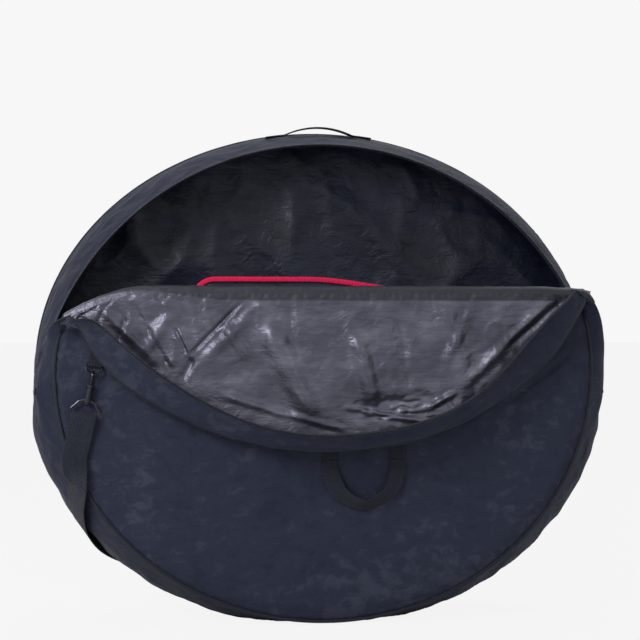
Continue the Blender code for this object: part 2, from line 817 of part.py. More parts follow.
def strap_ends():
    """Tab, D-ring, snap hook with its gate, and strap eye at each end of the shoulder strap."""
    out = Matrix.Translation((0, -hook_stand_off, 0))
    for name, frame in strap_frames():
        base = axis_empty("strap_place_" + name, frame)
        ring_tab("d_ring_tab_" + name, base)
        ring_axis = axis_empty("d_ring_axis_" + name,
                               Matrix.Translation((0, -tab_stand_off, 0))
                               @ Matrix.Rotation(-ring_lean, 4, "X"), base)
        d_ring("d_ring_" + name, ring_axis)
        swivel = axis_empty("swivel_axis_" + name, out, base)
        snap_hook("snap_hook_" + name, swivel)
        gate_place = Vector((0, -(hook_inner + hook_wire) * math.cos(hook_tip_turn),
                             barrel_top + gate_pivot_rise))
        gate_axis = axis_empty("gate_axis_" + name, Matrix.Translation(gate_place), swivel)
        hook_gate("hook_gate_" + name, gate_axis)
        strap_eye("strap_eye_" + name, axis_empty("eye_place_" + name, out, base))


def end_loop(frame):
    """Points and faces of the strap's end, from its short tail over the eye's bar to the front."""
    radius = eye_wire + running_gap + webbing_thickness / 2
    points = [Vector((0, radius * tail_spread_share, -strap_tail)), Vector((0, radius, -radius * 2))]
    faces = [Vector((0, 1, 0)), Vector((0, 1, 0))]
    for turn in spread(0, math.pi, corner_steps):
        points.append(Vector((0, radius * math.cos(turn), radius * math.sin(turn))))
        faces.append(Vector((0, math.cos(turn), math.sin(turn))))
    points.append(Vector((0, -radius, -radius * 2)))
    faces.append(Vector((0, -1, 0)))
    lift = Vector((0, -hook_stand_off, eye_bar_height))
    turn_only = frame.to_3x3()
    return [frame @ (point + lift) for point in points], [turn_only @ face for face in faces]


def strap_runs():
    """Middle points of the strap between its end loops, with the way that its face looks."""
    front_frame, back_frame = (frame for name, frame in strap_frames())
    down = front_frame.to_3x3() @ Vector((0, 0, -1))
    eye = front_frame @ Vector((0, -strap_stand_off - webbing_thickness, eye_bar_height))
    out_front, out_back = Vector((0, -1, 0)), Vector((0, 1, 0))
    knots = [(eye + down * strap_front_run * share, out_front) for share in (front_run_share, 1)]
    first_turn, last_turn = (-math.radians(turn) for turn in strap_wrap_degrees)
    for share in spread(0, 1, corner_steps - 1):
        y = gusset_front_y + (gusset_back_y - gusset_front_y) * share
        point = lower_surface(first_turn + (last_turn - first_turn) * share, y)
        face = Vector((point.x, 0, point.z - centre_height)).normalized()
        tilt = Vector((0, (2 * share - 1) * wrap_tilt_share, 0))
        knots.append((point + (face + tilt).normalized() * wrap_stand_off, face + tilt))
    back_line = back_y + strap_stand_off
    start = Vector((knots[-1][0].x + strap_width * back_start_share, back_line, knots[-1][0].z + strap_rise))
    up = back_frame.to_3x3() @ Vector((0, 0, 1))
    top = back_frame @ Vector((0, -strap_stand_off - webbing_thickness, eye_bar_height)) - up * strap_tail
    knee = Vector((knee_x, back_line, start.z + strap_rise * knee_rise_share))
    knots += [(start, out_back), (start.lerp(knee, 1 / 2), out_back), (knee, out_back)]
    knots += [(knee.lerp(top, 1 / 2) + Vector((knee_swing, 0, 0)), out_back), (top, out_back)]
    return knots


def shoulder_strap():
    """One length of webbing from the left hook, under the left side, to the right hook behind."""
    front_frame, back_frame = (frame for name, frame in strap_frames())
    knots = strap_runs()
    points = smooth_line([point for point, face in knots], strap_steps)
    faces = smooth_line([face.normalized() for point, face in knots], strap_steps)
    first_points, first_faces = end_loop(front_frame)
    last_points, last_faces = end_loop(back_frame)
    points = first_points + points + last_points[::-1]
    faces = first_faces + faces + last_faces[::-1]
    ribbon("shoulder_strap", stations_along(points, faces), strap_width, webbing_thickness, webbing)


def strap_glide():
    """Moulded adjuster that slides on the straight run of the strap behind the bag."""
    knots = strap_runs()
    start, knee = knots[-5][0], knots[-3][0]
    middle = start.lerp(knee, glide_place_share)
    along = (knee - start).normalized()
    carrier = axis_empty("glide_place", Matrix.Translation(middle)
                         @ Matrix.Rotation(math.atan2(-along.z, along.x), 4, "Y"))
    inner_half = strap_width / 2 + glide_side_room
    slot_half = webbing_thickness / 2 + glide_room
    outer_half, outer_thick = inner_half + glide_wall, slot_half + glide_wall / 2
    outlines = [[(y * thick, z * half) for y, z in ((-1, -1), (1, -1), (1, 1), (-1, 1))]
                for thick, half in ((outer_thick, outer_half), (slot_half, inner_half))]
    bar("strap_glide", outlines, -glide_length / 2, glide_length, black_acetal, carrier)


def zip_slider(name, side):
    """Slider with two plates, the post between the coils and the bail that holds its puller."""
    frame = axis_empty("slider_axis_" + name, Matrix.Translation(zip_centre)
                       @ Matrix.Rotation(side * slider_rest_turn, 4, "Y"))
    low = coil_thickness / 2 + slider_room
    high = low + slider_plate
    half, wide = slider_length / 2, slider_width / 2
    blocks = [((-half, -wide, zip_radius + low), (half, wide, zip_radius + high)),
              ((-half, -wide, zip_radius - high), (half, wide, zip_radius - low)),
              ((-slider_post_length / 2, -slider_post / 2, zip_radius - low - slider_plate / 2),
               (slider_post_length / 2, slider_post / 2, zip_radius + low + slider_plate / 2))]
    for ear in (-1, 1):
        inside, outside = sorted((ear * bail_inside / 2, ear * (bail_inside / 2 + bail_ear_width)))
        blocks.append(((-bail_ear_length / 2, inside, zip_radius + low + slider_plate / 2),
                       (bail_ear_length / 2, outside, zip_radius + high + bail_pin_height + 2 * bail_pin_radius)))
    pin = bail_pin_radius
    pin_height = zip_radius + high + bail_pin_height
    blocks.append(((-pin, -bail_inside / 2 - bail_ear_width / 2, pin_height - pin),
                   (pin, bail_inside / 2 + bail_ear_width / 2, pin_height + pin)))
    pieces = [mesh_piece(name + "_block", box(*corners), dark_metal) for corners in blocks]
    joined("zip_slider_" + name, pieces, dark_metal, frame)
    puller = axis_empty("puller_axis_" + name, Matrix.Translation((0, 0, pin_height))
                        @ Matrix.Rotation(side * math.pi / 2, 4, "Y"), frame)
    inner = pin * math.sqrt(2) + puller_clearance
    ring = [(inner * math.cos(a), inner * math.sin(a)) for a in spread(0, 2 * math.pi, round_sides)[:-1]]
    eye_turn = math.asin(puller_thickness / 2 / puller_eye_radius)
    round_end = [(puller_eye_radius * math.cos(a), puller_eye_radius * math.sin(a))
                 for a in spread(math.pi / 2 + eye_turn, 5 * math.pi / 2 - eye_turn, round_sides)]
    outline = round_end + [(puller_thickness / 2, puller_length), (-puller_thickness / 2, puller_length)]
    pull = plate("zip_puller_" + name, [outline, ring], -puller_width_at_pin / 2, puller_width_at_pin,
                 black_acetal)
    pull.parent = puller


def build():
    carrier = axis_empty("flap_axis", Matrix.Translation(fold_axis) @ Matrix.Rotation(math.pi, 4, "X"))
    back_panel()
    front_panel()
    fold_roll()
    lower_gusset()
    rear_gusset()
    side_gusset("side_gusset_left", -1)
    side_gusset("side_gusset_right", 1)
    flap_gusset(carrier)
    zips(carrier)
    zip_end_tabs()
    panel_piping()
    flap(carrier)
    divider()
    front_handle()
    top_handle()
    strap_ends()
    shoulder_strap()
    strap_glide()
    zip_slider("left", -1)
    zip_slider("right", 1)


build()
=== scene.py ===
# %% [markdown]
# # A padded wheel bag for two bicycle wheels
#
# The real bag is a soft round shell: two padded fabric faces, a fabric gusset between them, and a coil
# zip over the top. Its front flap is unzipped and hangs down over the front, so its pewter lining shows.
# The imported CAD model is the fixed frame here. It says where every piece is and how it moves, and this
# script sews the cloth over it. Everything is in metres, X to the right, Y to the back and Z up.

# %% Load the frame
import math

import bmesh
import bpy
import numpy as np
from mathutils import Matrix, Vector, noise


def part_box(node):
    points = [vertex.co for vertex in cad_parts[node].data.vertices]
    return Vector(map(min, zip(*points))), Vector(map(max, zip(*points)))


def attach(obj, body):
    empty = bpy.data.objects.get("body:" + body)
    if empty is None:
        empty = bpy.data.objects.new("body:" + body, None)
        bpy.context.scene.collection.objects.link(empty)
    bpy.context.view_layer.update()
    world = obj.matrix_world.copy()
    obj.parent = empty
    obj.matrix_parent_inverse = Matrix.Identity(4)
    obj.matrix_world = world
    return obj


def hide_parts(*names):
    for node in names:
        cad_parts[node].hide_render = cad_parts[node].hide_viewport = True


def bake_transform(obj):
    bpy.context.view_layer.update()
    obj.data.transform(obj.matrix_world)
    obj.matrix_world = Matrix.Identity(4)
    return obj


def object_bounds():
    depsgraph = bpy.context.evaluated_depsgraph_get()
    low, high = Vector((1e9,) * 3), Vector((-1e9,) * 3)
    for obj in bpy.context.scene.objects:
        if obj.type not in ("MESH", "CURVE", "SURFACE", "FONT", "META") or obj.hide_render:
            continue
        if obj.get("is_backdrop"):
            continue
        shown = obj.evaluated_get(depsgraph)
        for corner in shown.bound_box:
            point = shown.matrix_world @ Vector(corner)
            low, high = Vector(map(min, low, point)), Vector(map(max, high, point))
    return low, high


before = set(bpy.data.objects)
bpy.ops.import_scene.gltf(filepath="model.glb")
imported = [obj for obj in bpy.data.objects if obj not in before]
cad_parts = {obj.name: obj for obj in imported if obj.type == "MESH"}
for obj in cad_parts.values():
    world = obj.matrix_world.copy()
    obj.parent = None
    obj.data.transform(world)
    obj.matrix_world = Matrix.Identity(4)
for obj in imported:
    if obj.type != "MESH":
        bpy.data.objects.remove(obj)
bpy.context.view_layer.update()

# %% [markdown]
# ## Lines that the pieces share
#
# A bag maker draws two outlines, one for each face, and everything is cut from them. Here the faces are
# ellipses, a little wider at the back, and the zip runs on a circle round the top, so that its sliders
# can travel by turning. The open flap is the closed flap turned half a turn about its fold line.

# %% Shared lines
front_y, back_y = -0.095, 0.095
gusset_front_y, gusset_back_y = -0.0897, 0.0897
centre_height, half_height = 0.384, 0.380
front_half_width, flap_half_width, back_half_width = 0.410, 0.425, 0.450
zip_radius, zip_centre_height, zip_end_height = 0.445, 0.290, 0.347
tape_width, rear_coil_y, flap_coil_y = 0.012, -0.0338, -0.0362
rim_seam_y, rim_edge_y, tape_edge_y, rear_edge_y = -0.0892, -0.0480, -0.0366, -0.0225
fold_height, fold_y, bend_room = 0.512, -0.105, 0.0004
piping_radius, piping_y = 0.0025, 0.0924
cloth_wall, tape_wall, weld_distance = 0.0018, 0.0009, 0.00002
corner_x, handle_x = 0.386, 0.055


def ellipse_point(half_width, half_tall, angle):
    """Point (x, z) of a bag outline, at an angle clockwise from the top."""
    return half_width * math.sin(angle), centre_height + half_tall * math.cos(angle)


def outward(angle):
    """Direction away from the bag's middle, at an angle clockwise from the top."""
    return Vector((math.sin(angle), 0, math.cos(angle)))


def zip_point(angle, y):
    """Point of the zip's circle."""
    return Vector((zip_radius * math.sin(angle), y, zip_centre_height + zip_radius * math.cos(angle)))


def opened(point):
    """Where a point of the closed flap is when the flap hangs open."""
    return Vector((point[0], 2 * fold_y - point[1], 2 * fold_height - point[2]))


def corner_sag(x):
    """How far the slack cloth sinks near the two ends of the fold, most on the left."""
    left = min(max((-x - 0.275) / 0.11, 0.0), 1.15)
    right = min(max((x - 0.30) / 0.08, 0.0), 1.0)
    return 0.040 * left ** 1.6 + 0.004 * right * right


def corner_drop(angle):
    """How far the front's outline sinks between the zip's end and the fold."""
    share = min(max((end_angle - abs(angle)) / (end_angle - fold_angle), 0.0), 1.0)
    return corner_sag(math.copysign(corner_x, angle)) * share * share


fold_angle = math.acos((fold_height - centre_height) / half_height)
end_angle = math.acos((zip_end_height - centre_height) / half_height)
zip_fold_angle = math.acos((fold_height - zip_centre_height) / zip_radius)
zip_end_angle = math.acos((zip_end_height - zip_centre_height) / zip_radius)
print("fold at", round(math.degrees(fold_angle), 1), "degrees,",
      "zip ends at", round(math.degrees(end_angle), 1))

# %% [markdown]
# ## Small tools
#
# Cloth is modelled as grids of points that follow a seam in one direction and cross the cloth in the
# other. A grid keeps a tidy UV map in real metres, so weave and ribs have their true size and follow the
# cloth. The tools below turn a grid into a mesh, give it a wall or close it as a tube, and fasten the
# finished piece to the body that it moves with.

# %% Grids and meshes
def linear(code):
    """Linear colour from an sRGB hex value."""
    parts = [int(code[place:place + 2], 16) / 255 for place in (0, 2, 4)]
    return [c / 12.92 if c <= 0.04045 else ((c + 0.055) / 1.055) ** 2.4 for c in parts] + [1.0]


def ease(share):
    """Smooth step from 0 to 1."""
    share = min(max(share, 0.0), 1.0)
    return share * share * (3 - 2 * share)


def rough(x, y, z, size, seed=0.0):
    """Smooth seeded noise from -1 to 1, with features of about this size in metres."""
    return noise.noise(Vector((x / size + seed, y / size - 2 * seed, z / size + 3 * seed)))


def ridge(x, y, z, size, seed):
    """Sharp crests from 0 to 1, like those of crumpled cloth."""
    return (1 - min(1.0, 2.2 * abs(rough(x, y, z, size, seed)))) ** 1.6


def new_piece(name, mesh, *materials):
    """Object at the origin, smooth shaded, with its materials."""
    piece = bpy.data.objects.new(name, mesh)
    bpy.context.scene.collection.objects.link(piece)
    for material in materials:
        mesh.materials.append(material)
    mesh.polygons.foreach_set("use_smooth", [True] * len(mesh.polygons))
    return piece


def grid_piece(name, rows, *materials, round_rows=False):
    """Cloth from rows of points. The UV map runs along a row and across the rows, in metres."""
    count, length = len(rows), len(rows[0])
    points = [tuple(point) for row in rows for point in row]
    faces, corners = [], []
    along = [0.0]
    middle = rows[count // 2]
    for first, second in zip(middle, middle[1:]):
        along.append(along[-1] + (Vector(second) - Vector(first)).length)
    across = [0.0]
    for first, second in zip(rows, rows[1:]):
        across.append(across[-1] + (Vector(second[length // 2]) - Vector(first[length // 2])).length)
    across.append(2 * across[-1] - across[-2])
    for row in range(count if round_rows else count - 1):
        after = (row + 1) % count
        for place in range(length - 1):
            face = [(row, place), (row, place + 1), (after, place + 1), (after, place)]
            mapped = [(along[place], across[row]), (along[place + 1], across[row]),
                      (along[place + 1], across[row + 1]), (along[place], across[row + 1])]
            faces.append([r * length + p for r, p in face])
            corners += mapped
    mesh = bpy.data.meshes.new(name)
    mesh.from_pydata(points, [], faces)
    layer = mesh.uv_layers.new(name="cloth")
    layer.data.foreach_set("uv", [value for corner in corners for value in corner])
    mesh.validate()
    return new_piece(name, mesh, *materials)


def settle(piece):
    """Apply the piece's modifiers to its mesh."""
    bpy.context.view_layer.update()
    evaluated = piece.evaluated_get(bpy.context.evaluated_depsgraph_get())
    mesh = bpy.data.meshes.new_from_object(evaluated, preserve_all_data_layers=True,
                                           depsgraph=bpy.context.evaluated_depsgraph_get())
    piece.modifiers.clear()
    old = piece.data
    piece.data = mesh
    mesh.name = piece.name
    bpy.data.meshes.remove(old)
    return piece


def walled(piece, thickness, offset=-1.0, inner=0):
    """Give an open sheet its wall. Inner is how many material slots further the inside's is."""
    wall = piece.modifiers.new("wall", "SOLIDIFY")
    wall.thickness = thickness
    wall.offset = offset
    wall.material_offset = inner
    wall.material_offset_rim = 0
    return settle(piece)


def sealed(piece, merge):
    """Join the edges of a tube that meet, close its ends and turn its faces outwards."""
    shape = bmesh.new()
    shape.from_mesh(piece.data)
    bmesh.ops.remove_doubles(shape, verts=shape.verts, dist=merge)
    bmesh.ops.holes_fill(shape, edges=[edge for edge in shape.edges if edge.is_boundary], sides=0)
    bmesh.ops.recalc_face_normals(shape, faces=shape.faces)
    shape.to_mesh(piece.data)
    shape.free()
    return piece


def places(piece):
    """All corner points of a piece as an array."""
    values = np.empty(3 * len(piece.data.vertices))
    piece.data.vertices.foreach_get("co", values)
    return values.reshape(-1, 3)


def put(piece, values):
    """Set all corner points of a piece from an array."""
    piece.data.vertices.foreach_set("co", np.ascontiguousarray(values).ravel())
    piece.data.update()


def done(piece, body, finish, *nodes):
    """Fasten a finished piece to its body, hide the CAD nodes that it stands for, and print its size."""
    if nodes:
        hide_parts(*nodes)
    if body:
        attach(piece, body)
    size = places(piece)
    size = size.max(axis=0) - size.min(axis=0)
    print(piece.name, len(piece.data.polygons), "faces", [round(1000 * s, 1) for s in size], "mm")
    return piece


# %% [markdown]
# ## Camera, floor and light
#
# The bag is photographed level, from just left of straight ahead, with a long lens, so its outline has
# hardly any perspective. A pale floor and a pale world give the soft light that shows dark cloth, and one
# large lamp at the upper left draws the sheen on the folds.

# %% Camera, floor and light
camera_data = bpy.data.cameras.new("camera")
camera = bpy.data.objects.new("camera", camera_data)
bpy.context.scene.collection.objects.link(camera)
bpy.context.scene.camera = camera
camera_data.sensor_width = 36
camera_data.lens = 89
camera_turn = math.radians(-6.0)
camera_distance = 2.40
aim = Vector((-0.012, front_y, 0.462))
camera.location = aim + camera_distance * Vector((math.sin(camera_turn), -math.cos(camera_turn), 0))
camera.rotation_euler = (math.radians(90), 0, camera_turn)

floor_mesh = bpy.data.meshes.new("floor")
floor_mesh.from_pydata([(-30, -30, 0), (30, -30, 0), (30, 30, 0), (-30, 30, 0)], [], [(0, 1, 2, 3)])
floor = bpy.data.objects.new("floor", floor_mesh)
bpy.context.scene.collection.objects.link(floor)
floor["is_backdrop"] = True


def add_node(tree, kind, inputs=None, **settings):
    """Add a node, with its settings, and its inputs as plain values or as sockets to link."""
    node = tree.nodes.new(kind)
    for name, value in settings.items():
        setattr(node, name, value)
    for name, value in (inputs or {}).items():
        socket = node.inputs[name]
        if isinstance(value, bpy.types.NodeSocket):
            tree.links.new(value, socket)
        else:
            socket.default_value = value
    return node


def math_node(tree, operation, *values):
    """Output of a math node with plain values or sockets going in."""
    return add_node(tree, "ShaderNodeMath", dict(enumerate(values)), operation=operation).outputs[0]


def area_lamp(name, place, size, power):
    """Square lamp that looks at the bag."""
    lamp = bpy.data.lights.new(name, "AREA")
    lamp.size = size
    lamp.energy = power
    holder = bpy.data.objects.new(name, lamp)
    holder.location = place
    holder.rotation_euler = (Vector((0, 0, 0.4)) - Vector(place)).to_track_quat("-Z", "Y").to_euler()
    bpy.context.scene.collection.objects.link(holder)


area_lamp("key_lamp", (-1.3, -1.4, 1.35), 0.8, 25)
area_lamp("fill_lamp", (2.2, -1.8, 1.0), 1.6, 3)
area_lamp("top_lamp", (0.3, 0.9, 2.4), 1.4, 10)

world = bpy.data.worlds.new("pale_studio")
bpy.context.scene.world = world
world.use_nodes = True
sky = world.node_tree
sky.nodes.clear()
path = add_node(sky, "ShaderNodeLightPath")
seen = math_node(sky, "MAXIMUM", path.outputs["Is Camera Ray"], path.outputs["Is Glossy Ray"])
seen = math_node(sky, "MAXIMUM", seen, path.outputs["Is Transmission Ray"])
ambient = add_node(sky, "ShaderNodeBackground", {"Color": linear("F4F6FA"), "Strength": 0.42})
backdrop = add_node(sky, "ShaderNodeBackground", {"Color": linear("F7F7F7"), "Strength": 1.0})
mixed = add_node(sky, "ShaderNodeMixShader", {0: seen, 1: ambient.outputs[0], 2: backdrop.outputs[0]})
add_node(sky, "ShaderNodeOutputWorld", {"Surface": mixed.outputs[0]})
bpy.context.scene.view_settings.view_transform = "Standard"
print("camera", [round(value, 3) for value in camera.location])

# %% [markdown]
# ## Coated polyester, the outer cloth
#
# Bag makers use a close plain weave of polyester yarn with a coating behind it. It is matt, drapes in
# stiff soft-edged folds and has a faint bloom at grazing angles. The real bag has a tone-on-tone print;
# here it is a plain mottle of two near tones. Single yarns are half a millimetre wide, too fine to show,
# so the weave is drawn as slubs, the slightly thick stretches of yarn that the eye picks out.

# %% Coated polyester
def cloth_material(name, base, roughness):
    """Material with its coordinates and its shader."""
    material = bpy.data.materials.new(name)
    material.use_nodes = True
    tree = material.node_tree
    shader = tree.nodes["Principled BSDF"]
    shader.inputs["Base Color"].default_value = linear(base)
    shader.inputs["Roughness"].default_value = roughness
    return material, tree, shader, tree.nodes.new("ShaderNodeTexCoord")


def stretched_noise(tree, vector, sizes, detail=3.0, roughness=0.55, distortion=0.0):
    """Noise whose features have these sizes in metres along X, Y and Z."""
    mapping = add_node(tree, "ShaderNodeMapping", {"Vector": vector, "Scale": [0.5 / size for size in sizes]})
    return add_node(tree, "ShaderNodeTexNoise",
                    {"Vector": mapping.outputs[0], "Scale": 1.0, "Detail": detail, "Roughness": roughness,
                     "Distortion": distortion})


def ramp(tree, value, *stops):
    """Colour ramp through (place, hex value) stops."""
    node = add_node(tree, "ShaderNodeValToRGB", {0: value})
    elements = node.color_ramp.elements
    while len(elements) < len(stops):
        elements.new(0.5)
    for element, (place, code) in zip(elements, stops):
        element.position = place
        element.color = linear(code)
    return node


def bump(tree, shader, *heights):
    """Bumps from (height socket, depth in metres) pairs, each laid on the one before."""
    below = None
    for height, depth in heights:
        inputs = {"Height": height, "Distance": depth, "Strength": 1.0}
        if below is not None:
            inputs["Normal"] = below.outputs[0]
        below = add_node(tree, "ShaderNodeBump", inputs)
    tree.links.new(below.outputs[0], shader.inputs["Normal"])


def coated_polyester(name, low, middle, high):
    """Matt plain weave with a mottle of near tones."""
    material, tree, shader, where = cloth_material(name, middle, 0.66)
    place = where.outputs["Object"]
    patches = stretched_noise(tree, place, (0.085, 0.085, 0.085), detail=1.0)
    blots = stretched_noise(tree, place, (0.013, 0.013, 0.010), detail=4.0, roughness=0.65, distortion=0.3)
    mottle = math_node(tree, "MULTIPLY_ADD", patches.outputs[0], 0.55, blots.outputs[0])
    tone = ramp(tree, mottle, (0.60, low), (0.70, middle), (0.82, middle), (0.95, high))
    slubs = stretched_noise(tree, place, (0.0016, 0.0016, 0.009), detail=1.0)
    picks = stretched_noise(tree, place, (0.009, 0.009, 0.0016), detail=1.0)
    weave = math_node(tree, "ADD", slubs.outputs[0], picks.outputs[0])
    crease = stretched_noise(tree, place, (0.030, 0.030, 0.018), detail=4.0, roughness=0.62, distortion=0.6)
    # Painted shade and light: the crease noise that also bumps the folds darkens their hollows and lightens
    # their crests a little.
    relief_shade_and_tone = add_node(tree, "ShaderNodeMix", {0: 0.10, 6: tone.outputs[0], 7: crease.outputs[0]},
                    data_type="RGBA", blend_type="SOFT_LIGHT")
    tree.links.new(relief_shade_and_tone.outputs[2], shader.inputs["Base Color"])
    bump(tree, shader, (crease.outputs[0], 0.0045), (weave, 0.0004))
    shader.inputs["Specular IOR Level"].default_value = 0.12
    shader.inputs["Sheen Weight"].default_value = 0.05
    shader.inputs["Sheen Roughness"].default_value = 0.45
    return material


outer_cloth = coated_polyester("coated_polyester_weave", "252939", "2A2E3E", "373A49")
# Painted shade: the gusset is the same cloth as the faces, given darker tones.
shaded_gusset_cloth = coated_polyester("coated_polyester_gusset_painted_shade", "1A1D2C", "1F2335", "282C3C")
print("outer cloth", outer_cloth.name, shaded_gusset_cloth.name)

# %% [markdown]
# ## Silvered taffeta and black taffeta, the linings
#
# The lining is thin nylon taffeta. On the flap it is coated with a metallic pigment, which makes it
# satin pewter: every fold has a bright side and a dark side. The fine grain runs across the bag, because
# the thicker yarns lie that way. Inside, the same cloth is black, so only its highlights show.

# %% Silvered taffeta and black taffeta
def taffeta(name, low, base, high, roughness, metallic, depth):
    """Thin satin lining with cross grain, fine crumpling and uneven coating."""
    material, tree, shader, where = cloth_material(name, base, roughness)
    place = where.outputs["Object"]
    grain = stretched_noise(tree, place, (0.016, 0.016, 0.0017), detail=2.0, roughness=0.7)
    coating = stretched_noise(tree, place, (0.060, 0.060, 0.030), detail=3.0)
    crumple = stretched_noise(tree, place, (0.013, 0.013, 0.009), detail=5.0, roughness=0.6, distortion=0.9)
    tone = ramp(tree, coating.outputs[0], (0.30, low), (0.52, base), (0.72, high))
    lined = add_node(tree, "ShaderNodeMix", {0: 0.35, 6: tone.outputs[0], 7: grain.outputs[0]},
                     data_type="RGBA", blend_type="OVERLAY")
    rougher = add_node(tree, "ShaderNodeMapRange",
                       {"Value": crumple.outputs[0], "From Min": 0.3, "From Max": 0.7,
                        "To Min": roughness - 0.07, "To Max": roughness + 0.09})
    colour, gloss = lined.outputs[2], rougher.outputs[0]
    shader.inputs["Metallic"].default_value = metallic
    if metallic:
        # Painted shade along the fold: the stored share turns the colour to dark cloth, raises the roughness
        # and lowers the metallic.
        painted_fold_shade = add_node(tree, "ShaderNodeAttribute", attribute_name="painted_fold_shade").outputs["Fac"]
        colour = add_node(tree, "ShaderNodeMix", {0: painted_fold_shade, 6: colour, 7: linear("1A1D29")},
                          data_type="RGBA").outputs[2]
        gloss = math_node(tree, "MULTIPLY_ADD", painted_fold_shade, 0.24, gloss)
        silver = math_node(tree, "MULTIPLY", math_node(tree, "SUBTRACT", 1.0, painted_fold_shade), metallic)
        tree.links.new(silver, shader.inputs["Metallic"])
    tree.links.new(colour, shader.inputs["Base Color"])
    tree.links.new(gloss, shader.inputs["Roughness"])
    bump(tree, shader, (crumple.outputs[0], depth), (grain.outputs[0], 0.0003))
    shader.inputs["Specular IOR Level"].default_value = 0.5 if metallic else 0.3
    return material


silver_lining = taffeta("silvered_nylon_taffeta", "3A3B47", "535461", "70717E", 0.34, 0.58, 0.0022)
black_lining = taffeta("black_nylon_taffeta", "0F1320", "161A2A", "1E2234", 0.42, 0.0, 0.0022)
print("linings", silver_lining.name, black_lining.name)

# %% [markdown]
# ## Webbing, tapes and binding
#
# Straps are woven polypropylene webbing: thick yarns in rows, seen as ribs across the width with a
# groove between the two halves of each rib. Zip tape is a fine herringbone and the red binding is ribbed
# grosgrain. All three follow the UV map, which is in metres along and across each strap.

# %% Webbing, zip tape and grosgrain
def ribbed_cloth(name, base, high, rib, roughness, depth, twill=0.0):
    """Ribs of a real spacing across a strap, with the slanting yarns of a twill between them."""
    material, tree, shader, where = cloth_material(name, base, roughness)
    parts = add_node(tree, "ShaderNodeSeparateXYZ", {0: where.outputs["UV"]})
    run, width = parts.outputs[1], parts.outputs[0]
    slant = math_node(tree, "PINGPONG", math_node(tree, "MULTIPLY", width, twill), rib * 2)
    turns = math_node(tree, "MULTIPLY", math_node(tree, "ADD", run, slant), 2 * math.pi / rib)
    yarns = math_node(tree, "MULTIPLY", width, 2 * math.pi / (0.6 * rib))
    height = math_node(tree, "MULTIPLY_ADD", math_node(tree, "COSINE", yarns), 0.5,
                       math_node(tree, "SINE", turns))
    fuzz = stretched_noise(tree, where.outputs["Object"], (0.0022, 0.0022, 0.0022), detail=3.0)
    # Painted shade and light: the ribs' crests get the light colour and their grooves the dark one, times a
    # random fuzz of tone.
    share = add_node(tree, "ShaderNodeMapRange", {"Value": height, "From Min": -1.5, "From Max": 1.5})
    relief_shade_and_tone = math_node(tree, "MULTIPLY", share.outputs[0], fuzz.outputs[0])
    tone = ramp(tree, relief_shade_and_tone, (0.05, base), (0.60, high))
    tree.links.new(tone.outputs[0], shader.inputs["Base Color"])
    bump(tree, shader, (height, depth), (fuzz.outputs[0], 0.0004))
    shader.inputs["Specular IOR Level"].default_value = 0.22
    shader.inputs["Sheen Weight"].default_value = 0.05
    return material


webbing = ribbed_cloth("woven_polypropylene_webbing", "171A25", "2C303F", 0.0036, 0.62, 0.00045, twill=0.8)
zip_tape_cloth = ribbed_cloth("herringbone_zip_tape", "171A24", "2B2E3B", 0.0030, 0.6, 0.0002, twill=1.0)
binding_cloth = ribbed_cloth("red_grosgrain_binding", "FF1E5A", "FF2A62", 0.0024, 0.55, 0.0003)
piping_cloth = ribbed_cloth("bias_cut_piping_cloth", "161924", "252936", 0.0028, 0.6, 0.00018, twill=1.2)
print("ribbed cloths", webbing.name, zip_tape_cloth.name, binding_cloth.name, piping_cloth.name)

# %% [markdown]
# ## Thread, coil, plated metal and acetal
#
# Bonded nylon thread has a slight gloss. A zip's coil is one nylon filament, glossier than the tape. The
# hooks and rings are zinc castings with dark nickel plating: nearly a mirror, broken by fine handling
# scratches and a little dulling. The strap's glide is moulded acetal with a fine spark-eroded texture.

# %% Thread, coil, plated metal and acetal
def moulded(name, base, roughness, grain, depth, metallic=0.0):
    """Hard finish with fine uneven gloss; grain is the texture's size in metres."""
    material, tree, shader, where = cloth_material(name, base, roughness)
    spots = stretched_noise(tree, where.outputs["Object"], (grain, grain, grain), detail=4.0)
    wear = stretched_noise(tree, where.outputs["Object"], (0.010, 0.010, 0.004), detail=3.0, roughness=0.6)
    gloss = add_node(tree, "ShaderNodeMapRange",
                     {"Value": wear.outputs[0], "From Min": 0.3, "From Max": 0.7,
                      "To Min": max(roughness - 0.08, 0.05), "To Max": roughness + 0.12})
    tree.links.new(gloss.outputs[0], shader.inputs["Roughness"])
    bump(tree, shader, (spots.outputs[0], depth))
    shader.inputs["Metallic"].default_value = metallic
    return material


plated_metal = moulded("dark_nickel_plated_zinc", "3B3C43", 0.27, 0.0015, 0.00006, metallic=1.0)
coil_nylon = moulded("coil_zip_nylon", "1E2027", 0.30, 0.0010, 0.00004)
acetal = moulded("moulded_black_acetal", "17181C", 0.36, 0.0008, 0.00005)
thread = moulded("bonded_nylon_thread", "4C4F5E", 0.42, 0.0008, 0.0001)
floor_finish = moulded("matt_studio_floor", "F0F0F0", 0.75, 0.02, 0.00002)
floor_mesh.materials.append(floor_finish)
tree = floor_finish.node_tree
lit = next(node for node in tree.nodes if node.type == "BSDF_PRINCIPLED")
out = next(node for node in tree.nodes if node.type == "OUTPUT_MATERIAL")
path = add_node(tree, "ShaderNodeLightPath")
share = math_node(tree, "MULTIPLY", path.outputs["Is Camera Ray"], 0.95)
glow = add_node(tree, "ShaderNodeEmission", {"Color": linear("F7F7F7"), "Strength": 1.0})
mixed = add_node(tree, "ShaderNodeMixShader", {0: share, 1: lit.outputs[0], 2: glow.outputs[0]})
tree.links.new(mixed.outputs[0], out.inputs["Surface"])
